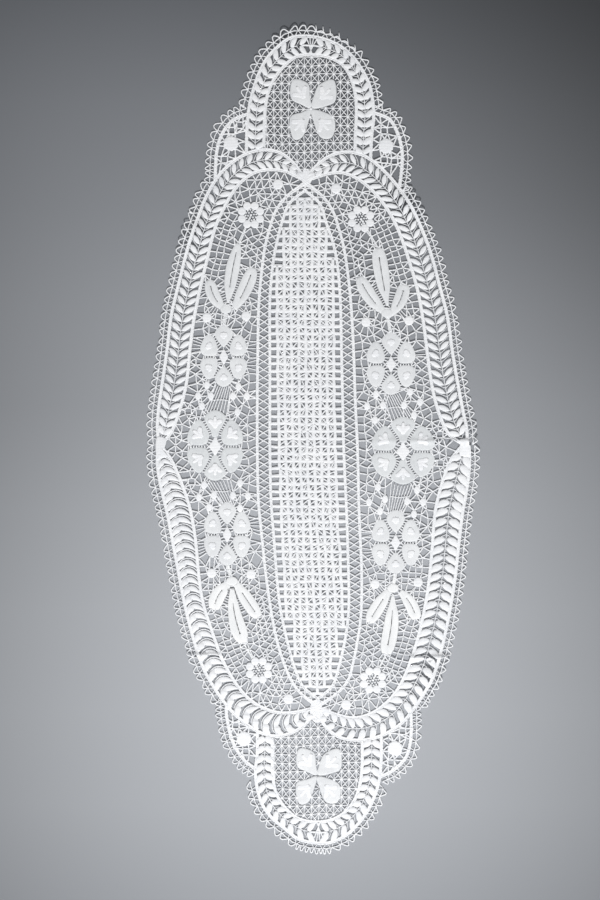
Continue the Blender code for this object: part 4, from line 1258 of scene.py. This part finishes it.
def insideAny(points, loops):
    found = np.zeros(len(points), bool)
    for loop in loops:
        low, high = loop.min(axis=0), loop.max(axis=0)
        near = np.flatnonzero(((points >= low) & (points <= high)).all(axis=1))
        if len(near):
            found[near] |= insideLoop(points[near], loop)
    return found


def edgeKey(a, b):
    return min(a, b), max(a, b)


def fillGround(bag, rim, shapes, openings, areas, hubs, dropShare, rimStep=groundLook["rimStep"],
               shapeStep=groundLook["shapeStep"], plaitWide=plait["wide"]):
    # a net of plaits between its hubs, the rim and the motifs, made of triangles of which some
    # pairs lose the plait between them
    closed = [shape for _, shape in shapes] + openings
    allStarts, allEnds, _ = segmentsOf([rim] + closed)
    keep = insideLoop(hubs, rim) & ~insideAny(hubs, closed) & ~insideAny(hubs, areas)
    hubs = hubs[keep]
    hubs = hubs[distanceTo(hubs, allStarts, allEnds) > groundLook["clear"]]
    chosen = []
    for hub in hubs:
        if not chosen or np.linalg.norm(np.array(chosen) - hub, axis=1).min() > groundLook["apart"]:
            chosen.append(hub)
    rings = [ringOf(rim, rimStep)] + [ringOf(shape, shapeStep) for shape in closed]
    places, drawAt, edges, ringOfPoint = [], [], [], []
    for number, ring in enumerate(rings):
        first = len(places)
        tuck = groundLook["tuck"] if number == 0 else (-0.5 if number <= len(shapes) else 0.0)
        places += list(ring)
        drawAt += list(ring + closedNormals(ring) * tuck)
        ringOfPoint += [number] * len(ring)
        edges += [(first + k, first + (k + 1) % len(ring)) for k in range(len(ring))]
    places += chosen
    drawAt += chosen
    ringOfPoint += [-1] * len(chosen)
    found = delaunay_2d_cdt([Vector(p) for p in places], edges, [], 0, 1e-4)
    spots, links, faces, spotFrom, linkFrom = found[:5]
    spots = np.array([tuple(p) for p in spots])
    drawn = np.array([drawAt[f[0]] if f else p for f, p in zip(spotFrom, spots)])
    rings = [ringOfPoint[f[0]] if f else -2 for f in spotFrom]
    lengths = {}
    around = {}
    for number, face in enumerate(faces):
        for a, b in zip(face, face[1:] + face[:1]):
            lengths[edgeKey(a, b)] = np.linalg.norm(spots[a] - spots[b])
            around.setdefault(edgeKey(a, b), []).append(number)
    longest = [max((edgeKey(a, b) for a, b in zip(face, face[1:] + face[:1])), key=lengths.get)
               for face in faces]
    fixed = {edgeKey(a, b) for (a, b), source in zip(links, linkFrom) if source}
    candidates = [key for key in around if key not in fixed]
    middles = np.array([(spots[a] + spots[b]) / 2 for a, b in candidates])
    good = insideLoop(middles, rim) & ~insideAny(middles, closed) & ~insideAny(middles, areas)
    used = set()
    for key, fine, share in zip(candidates, good, dropShare(middles)):
        if not fine:
            continue
        a, b = key
        if rings[a] == rings[b] and rings[a] >= 0 and lengths[key] < 2.4 * shapeStep:
            continue
        both = set(around[key])
        isPair = len(both) == 2 and all(longest[f] == key for f in both) and not used & both
        if isPair and rng.random() < share:
            used |= both
            continue
        addPlait(bag, [drawn[a], drawn[b]], plaitWide)
    for loop in openings:
        addPlait(bag, np.concatenate([loop, loop[:1]]), plaitWide)


def latticeAlong(line, side, first, pitch, rowStep, rows, staggered, loose):
    # hubs in rows beside a line
    normal = leftOf(line) * side
    along = lengthAlong(line)
    points = []
    for row in range(rows):
        start = 0.5 * pitch * (row % 2 if staggered else 0)
        s = np.arange(start, along[-1], pitch)
        points.append(pointsAt(line, s) + valuesAt(along, normal, s) * (first + row * rowStep))
    points = np.concatenate(points)
    return points + loose * rng.standard_normal(points.shape)


def ownHoles(node, motifs):
    # the stated openings of a net: the holes that hold no motif
    holes = []
    for loop in nodeRims(node)[1:]:
        loop = anticlockwise(loop[:, :2])
        if not any(insideLoop(np.array([motif.mean(axis=0)]), loop)[0] for motif in motifs):
            holes.append(ringOf(loop, 1.5))
    return holes


def besideBorder(points, corner):
    # the points between a quarter's spray and its border, away from the flowers
    spine = spines[corner]
    way = -1.0 if corner[1] == "l" else 1.0
    beyond = way * (points[:, 0] - np.interp(points[:, 1], spine[:, 1], spine[:, 0]))
    return (beyond > groundLook["besideSpine"]) & (np.abs(points[:, 1]) > groundLook["flowersTo"])


sideNets = {"l": "net_left", "r": "net_right"}
for side, node in sideNets.items():
    bag = smallSpots[side]
    way = -1.0 if side == "l" else 1.0
    rim = anticlockwise(nodeRims(node)[0][:, :2])
    shapes = outlines[side]
    hubs = []
    oval = outerLeft if side == "l" else outerRight
    across, down = groundLook["square"]
    for vertical in ("u", "l"):
        inner = borderLines(vertical + side)[1]
        inwards = 1.0 if (leftOf(inner)[len(inner) // 3, 0] * way) < 0 else -1.0
        squares = latticeAlong(inner, inwards, tape["half"] + down, across, down, 9, False,
                               groundLook["uneven"]["square"])
        squares = squares[besideBorder(squares, vertical + side)]
        hubs.append(squares[np.abs(squares[:, 1]) < groundLook["squaresTo"]])
    ovalOut = 1.0 if leftOf(oval)[len(oval) // 2, 0] * way > 0 else -1.0
    for zone in ("leafZone", "flowerZone"):
        pitch = groundLook[zone]
        row = groundLook["rowShare"] * pitch
        found = latticeAlong(oval, ovalOut, tape["half"] + row, pitch, row, 14, True,
                             groundLook["uneven"][zone])
        isLeafZone = np.abs(found[:, 1]) > groundLook["flowersTo"]
        hubs.append(found[isLeafZone == (zone == "leafZone")])
    hubs.append(np.array(groundLook["besideCrossing"][side]))
    openings = ownHoles(node, [shape for _, shape in shapes])

    def dropShare(points):
        share = np.full(len(points), groundLook["drop"]["flowers"])
        for vertical in ("u", "l"):
            same = (points[:, 1] > 0) == (vertical == "u")
            share[same & besideBorder(points, vertical + side)] = groundLook["drop"]["squares"]
        share[np.abs(points[:, 1]) > groundLook["endFrom"]] = groundLook["drop"]["ends"]
        return share

    # the ground runs on into the corner between the border and the oval
    for vertical, apex in (("u", oval[0]), ("l", oval[-1])):
        nook = 0.5 * (apex + borderLines(vertical + side)[1][-1]) + np.array([way * 1.8, 0.0])
        middles = 0.5 * (rim + np.roll(rim, -1, axis=0))
        nearest = int(np.argmin(np.linalg.norm(middles - nook, axis=1)))
        rim = np.insert(rim, nearest + 1, nook, axis=0)
    areas = addLegs(bag, rim, shapes) + addBridges(bag, side)
    fillGround(bag, rim, shapes, openings, areas, np.concatenate(hubs), dropShare)
    makePiece(f"sideGround_{side}", bag, netPlait, [node])
print("side ground made")


# lobes
lobeLook = {
    "hub": 9.5, "row": 8.0, "rows": 7, "uneven": 0.8, "plait": 1.5, "dropShare": 0.95,
    "rimStep": 9.5, "shapeStep": 5.4, "spotWaves": 13, "waveMm": 0.4, "spotHigh": 1.4,
    # hubs round the disc: distance from its edge, number and unevenness, and the room beyond them
    "ring": (6.2, 9, 0.6), "beyondRing": 4.0,
}
for corner in corners:
    tapeLine = lobeLine(corner)
    outerTapes[f"lobe_{corner}"] = tapeLine
    middle, size = nodeMiddle(f"spot_lobe_{corner}")
    disc = roundOutline(*middle, *(size / 2), 44, lobeLook["spotWaves"], lobeLook["waveMm"])
    bag = newBag()
    addShape(bag, disc, lobeLook["spotHigh"])
    makePiece(f"lobeSpot_{corner}", bag, raisedWork, [f"spot_lobe_{corner}"])
    bag = newBag()
    addTape(bag, tapeLine)
    rim = anticlockwise(nodeRims(f"lobe_{corner}")[0][:, :2])
    beside = shifted(tapeLine, 4.0)[len(tapeLine) // 2]
    inwards = 1.0 if insideLoop(beside[None], rim)[0] else -1.0
    hubs = latticeAlong(tapeLine, inwards, lobeLook["row"], lobeLook["hub"], lobeLook["row"],
                        lobeLook["rows"], True, lobeLook["uneven"])
    core = roundOutline(*middle, *(size / 2), 14)
    out, number, uneven = lobeLook["ring"]
    ring = roundOutline(*middle, *(size / 2 + out), number)
    ring = ring + uneven * rng.standard_normal((number, 2))
    beyond = np.linalg.norm(hubs - middle, axis=1) > size.max() / 2 + out + lobeLook["beyondRing"]
    openings = ownHoles(f"lobe_{corner}", [core])
    fillGround(bag, rim, [("disc", core)], openings, [], np.concatenate([ring, hubs[beyond]]),
               lambda points: np.full(len(points), lobeLook["dropShare"]), lobeLook["rimStep"],
               lobeLook["shapeStep"], lobeLook["plait"])
    makePiece(f"lobeNet_{corner}", bag, netPlait, [f"lobe_{corner}"])
print("lobes made")

for name, tapeLine in outerTapes.items():
    bag = newBag()
    addPicots(bag, f"picots_{name}", tapeLine)
    makePiece(f"picotEdge_{name}", bag, picotThread, [f"picots_{name}"])
print("picots made")


# star net of the rounded ends
starLook = {"across": 6.4, "down": 7.47, "origin": {"top": (-0.6, 321.4), "bottom": (-0.6, -320.0)},
            "wide": 1.05, "high": 0.7, "hub": 1.2, "hubHigh": 0.8, "uneven": 0.35, "drift": 0.6}


def runsInside(line, keep):
    # the stretches of a line where keep is true
    runs = []
    start = None
    for k, good in enumerate(np.append(keep, False)):
        if good and start is None:
            start = k
        if not good and start is not None:
            runs.append(line[start:k])
            start = None
    return [run for run in runs if len(run) > 2]


for end in ("top", "bottom"):
    bag = newBag()
    rim = anticlockwise(nodeRims(f"net_end_{end}")[0][:, :2])
    wider = rim + closedNormals(rim) * 0.6
    petals = [shape for _, shape in outlines[end]]
    pitch, origin = np.array([starLook["across"], starLook["down"]]), starLook["origin"][end]
    first = np.floor((rim.min(axis=0) - origin) / pitch).astype(int)
    last = np.ceil((rim.max(axis=0) - origin) / pitch).astype(int)

    def hub(i, j):
        x, y = origin + pitch * (i, j)
        uneven, drift = starLook["uneven"], starLook["drift"]
        dx, dy = uneven * math.sin(12.9 * i + 78.2 * j), uneven * math.sin(39.3 * i + 11.1 * j)
        return np.array([x + drift * math.sin(y / 17.0) + dx, y + drift * math.sin(x / 13.0) + dy])

    for i in range(first[0], last[0] + 1):
        for j in range(first[1], last[1] + 1):
            here, right, up, both = hub(i, j), hub(i + 1, j), hub(i, j + 1), hub(i + 1, j + 1)
            if insideLoop(here[None], rim)[0] and not insideAny(here[None], petals)[0]:
                knot = roundOutline(*here, starLook["hub"], starLook["hub"], 8)
                addShape(bag, knot, starLook["hubHigh"], 0.35)
            for ends in ((here, right), (here, both), (up, right), (here, up)):
                line = evenly(np.array(ends), 0.9)
                keep = insideLoop(line, wider) & ~insideAny(line, petals)
                for run in runsInside(line, keep):
                    addPlait(bag, run, starLook["wide"], starLook["high"], wobble=0.0, sides=4,
                             step=1.8)
    makePiece(f"starGround_{end}", bag, netPlait, [f"net_end_{end}"])
print("star ground made")
print(sum(counts.values()), "triangles;", {k: v for k, v in counts.items() if v > 60000})


# the areas that are cloth
def spanOf(piece):
    spots = np.array(piece.bound_box)
    return (spots.max(axis=0) - spots.min(axis=0))[:2] / mm


def crescentSize(node):
    # greatest width of a leaning crescent, measured straight across, and its length
    loop = nodeRims(node)[0][:, :2]
    widths = []
    for y in np.arange(loop[:, 1].min() + 5.0, loop[:, 1].max() - 5.0, 5.0):
        a, b = loop, np.roll(loop, -1, axis=0)
        hit = (a[:, 1] > y) != (b[:, 1] > y)
        xs = a[hit, 0] + (b[hit, 0] - a[hit, 0]) * (y - a[hit, 1]) / (b[hit, 1] - a[hit, 1])
        widths.append(xs.max() - xs.min())
    return max(widths), loop[:, 1].max() - loop[:, 1].min()


def bandSize(outer, inner):
    # width across both tapes and length along the middle of a band
    _, a, b = bandCross(outer, inner)
    wide = np.median(np.linalg.norm(a - b, axis=1)) + tape["wide"]
    return wide, lengthAlong(0.5 * (a + b))[-1]


def declareSheet(name, wide, long, withPieces=()):
    # reads the area of each triangle of the piece's mesh; the cut's area is that of the
    # thread work without its holes: half of the closed mesh's surface, or the whole
    # rectangle where its layers come to more
    mesh = pieces[name].data
    mesh.calc_loop_triangles()
    surface = np.empty(len(mesh.loop_triangles))
    mesh.loop_triangles.foreach_get("area", surface)


for corner in corners:
    declareSheet(f"leafBorder_{corner}", *bandSize(*borderLines(corner)),
                 [f"picotEdge_side_{corner}"])
    declareSheet(f"lobeNet_{corner}", *spanOf(pieces[f"lobeNet_{corner}"]),
                 [f"lobeSpot_{corner}", f"picotEdge_lobe_{corner}"])
for end in ("top", "bottom"):
    declareSheet(f"leafArch_{end}", *bandSize(*archLines(end)), [f"picotEdge_{end}"])
    declareSheet(f"starGround_{end}", *spanOf(pieces[f"starGround_{end}"]),
                 [f"blossom_end_{end}", f"tulips_end_{end}"])
for side, names in flowerNames.items():
    motifs = [name.replace("flower", kind) for name in names for kind in ("blossom", "tulips")]
    for corner in ("u" + side, "l" + side):
        motifs += [f"leafSpray_{corner}", f"rosetteWork_{corner}"]
        motifs += [f"spot_{kind}Work_{corner}" for kind in spotKinds]
    declareSheet(f"sideGround_{side}", *crescentSize(sideNets[side]), motifs)
facing = innerLeft[np.linspace(0, len(innerLeft) - 1, len(outerLeft)).astype(int)]
declareSheet("ovalBand", np.median(np.linalg.norm(outerLeft - facing, axis=1)) + ovalLook["wide"],
             lengthAlong(outerLeft)[-1] + lengthAlong(outerRight)[-1])
declareSheet("openSquares", *spanOf(pieces["openSquares"]))


# floor, light and camera
stage = {
    "floor": 6.0, "roughness": 0.9,
    # greys of the paper from the far end of its run to the near end (metres), and their steps; the
    # darker far and near ends are painted light falloff
    "run": (0.40, -0.40),
    "tones": ((0.0, 97), (0.13, 124), (0.24, 138), (0.35, 153), (0.46, 163), (0.57, 174),
              (0.68, 179), (0.79, 178), (0.89, 171), (1.0, 153)),
    "tint": (-3, 0, 5),  # the greys are slightly blue
    # painted light falloff: over the first pair of y, how steeply the painted shade darkens to the
    # sides, and the x where the painted light is brightest
    "sideFall": ((0.38, -0.38), (-7.6, -5.5)), "darkest": 0.3,
    "brightest": ((0.38, 0.035), (-0.135, -0.008)),
}


def paintedLightFloor():
    # backdrop paper whose grey carries a painted pool of light: brightest along a line, with
    # painted shade towards the ends of its run and to the sides; matt, so that it shows no
    # reflections
    material = bpy.data.materials.new("backdrop_paper_painted_light_falloff")
    material.use_nodes = True
    tree = material.node_tree
    shader = tree.nodes["Principled BSDF"]
    shader.inputs["Roughness"].default_value = stage["roughness"]
    where = addNode(tree, "ShaderNodeTexCoord").outputs["Object"]
    apart = addNode(tree, "ShaderNodeSeparateXYZ", links={"Vector": where})
    # what changes with y: the grey, where the painted light is brightest, and how steeply the
    # painted shade darkens; the brightest line leans to the left towards the top
    changing = []
    for ys, values in ((stage["run"], (0.0, 1.0)), stage["brightest"], stage["sideFall"]):
        ends = {"From Min": ys[0], "From Max": ys[1], "To Min": values[0], "To Max": values[1]}
        node = addNode(tree, "ShaderNodeMapRange", inputs=ends, links={"Value": apart.outputs["Y"]})
        changing.append(node.outputs["Result"])
    share, brightest, steepness = changing
    ramp = addNode(tree, "ShaderNodeValToRGB", links={"Fac": share})
    stops = ramp.color_ramp.elements
    while len(stops) < len(stage["tones"]):
        stops.new(0.5)
    for stop, (position, grey) in zip(stops, stage["tones"]):
        stop.position = position
        stop.color = linear("#" + "".join(f"{grey + more:02x}" for more in stage["tint"]))
    # painted shade to the sides: a bell round the brightest line, never darker than the darkest
    # share
    away = addNode(tree, "ShaderNodeMath", {"operation": "SUBTRACT"},
                   links={0: apart.outputs["X"], 1: brightest}).outputs[0]
    square = addNode(tree, "ShaderNodeMath", {"operation": "MULTIPLY"}, links={0: away, 1: away})
    power = addNode(tree, "ShaderNodeMath", {"operation": "MULTIPLY"},
                    links={0: square.outputs[0], 1: steepness})
    bell = addNode(tree, "ShaderNodeMath", {"operation": "EXPONENT"}, links={0: power.outputs[0]})
    paintedFall = addNode(tree, "ShaderNodeMath", {"operation": "MAXIMUM"}, {1: stage["darkest"]},
                   {0: bell.outputs[0]})
    shaded = addNode(tree, "ShaderNodeVectorMath", {"operation": "SCALE"},
                     links={"Vector": ramp.outputs["Color"], "Scale": paintedFall.outputs[0]})
    tree.links.new(shaded.outputs["Vector"], shader.inputs["Base Color"])
    return material


bpy.ops.mesh.primitive_plane_add(size=stage["floor"], location=(0, 0, -0.0001))
floor = bpy.context.object
floor.name = "backdrop"
floor.data.materials.append(paintedLightFloor())


def addLight(name, place, target, size, power):
    light = bpy.data.lights.new(name, "AREA")
    light.size = size
    light.energy = power
    thing = bpy.data.objects.new(name, light)
    thing.location = place
    thing.rotation_euler = (Vector(target) - Vector(place)).to_track_quat("-Z", "Y").to_euler()
    bpy.context.scene.collection.objects.link(thing)


# place, target, size in metres and power in watts
lights = {"softKey": ((0.1, -1.9, 1.9), (0, -0.05, 0), 0.25, 60.0),
          "softFill": ((-0.3, 0.6, 2.4), (0, 0, 0), 1.8, 9.0)}
for name, settings in lights.items():
    addLight(name, *settings)

roomStrength = 0.32
world = bpy.data.worlds.new("room")
bpy.context.scene.world = world
world.use_nodes = True
world.node_tree.nodes["Background"].inputs["Color"].default_value = (1, 1, 1, 1)
world.node_tree.nodes["Background"].inputs["Strength"].default_value = roomStrength

# height of the camera in metres; height of its view on the floor, and its place, in mm
view = {"height": 1.9, "tallMm": 780.3, "shiftX": -10.4, "shiftY": -4.3}
camera = bpy.data.objects.new("overhead", bpy.data.cameras.new("overhead"))
bpy.context.scene.collection.objects.link(camera)
camera.location = (view["shiftX"] * mm, view["shiftY"] * mm, view["height"])
camera.data.sensor_fit = "VERTICAL"
camera.data.angle = 2 * math.atan(0.5 * view["tallMm"] * mm / view["height"])
bpy.context.scene.camera = camera
bpy.context.scene.view_settings.view_transform = "Standard"
print("stage set")
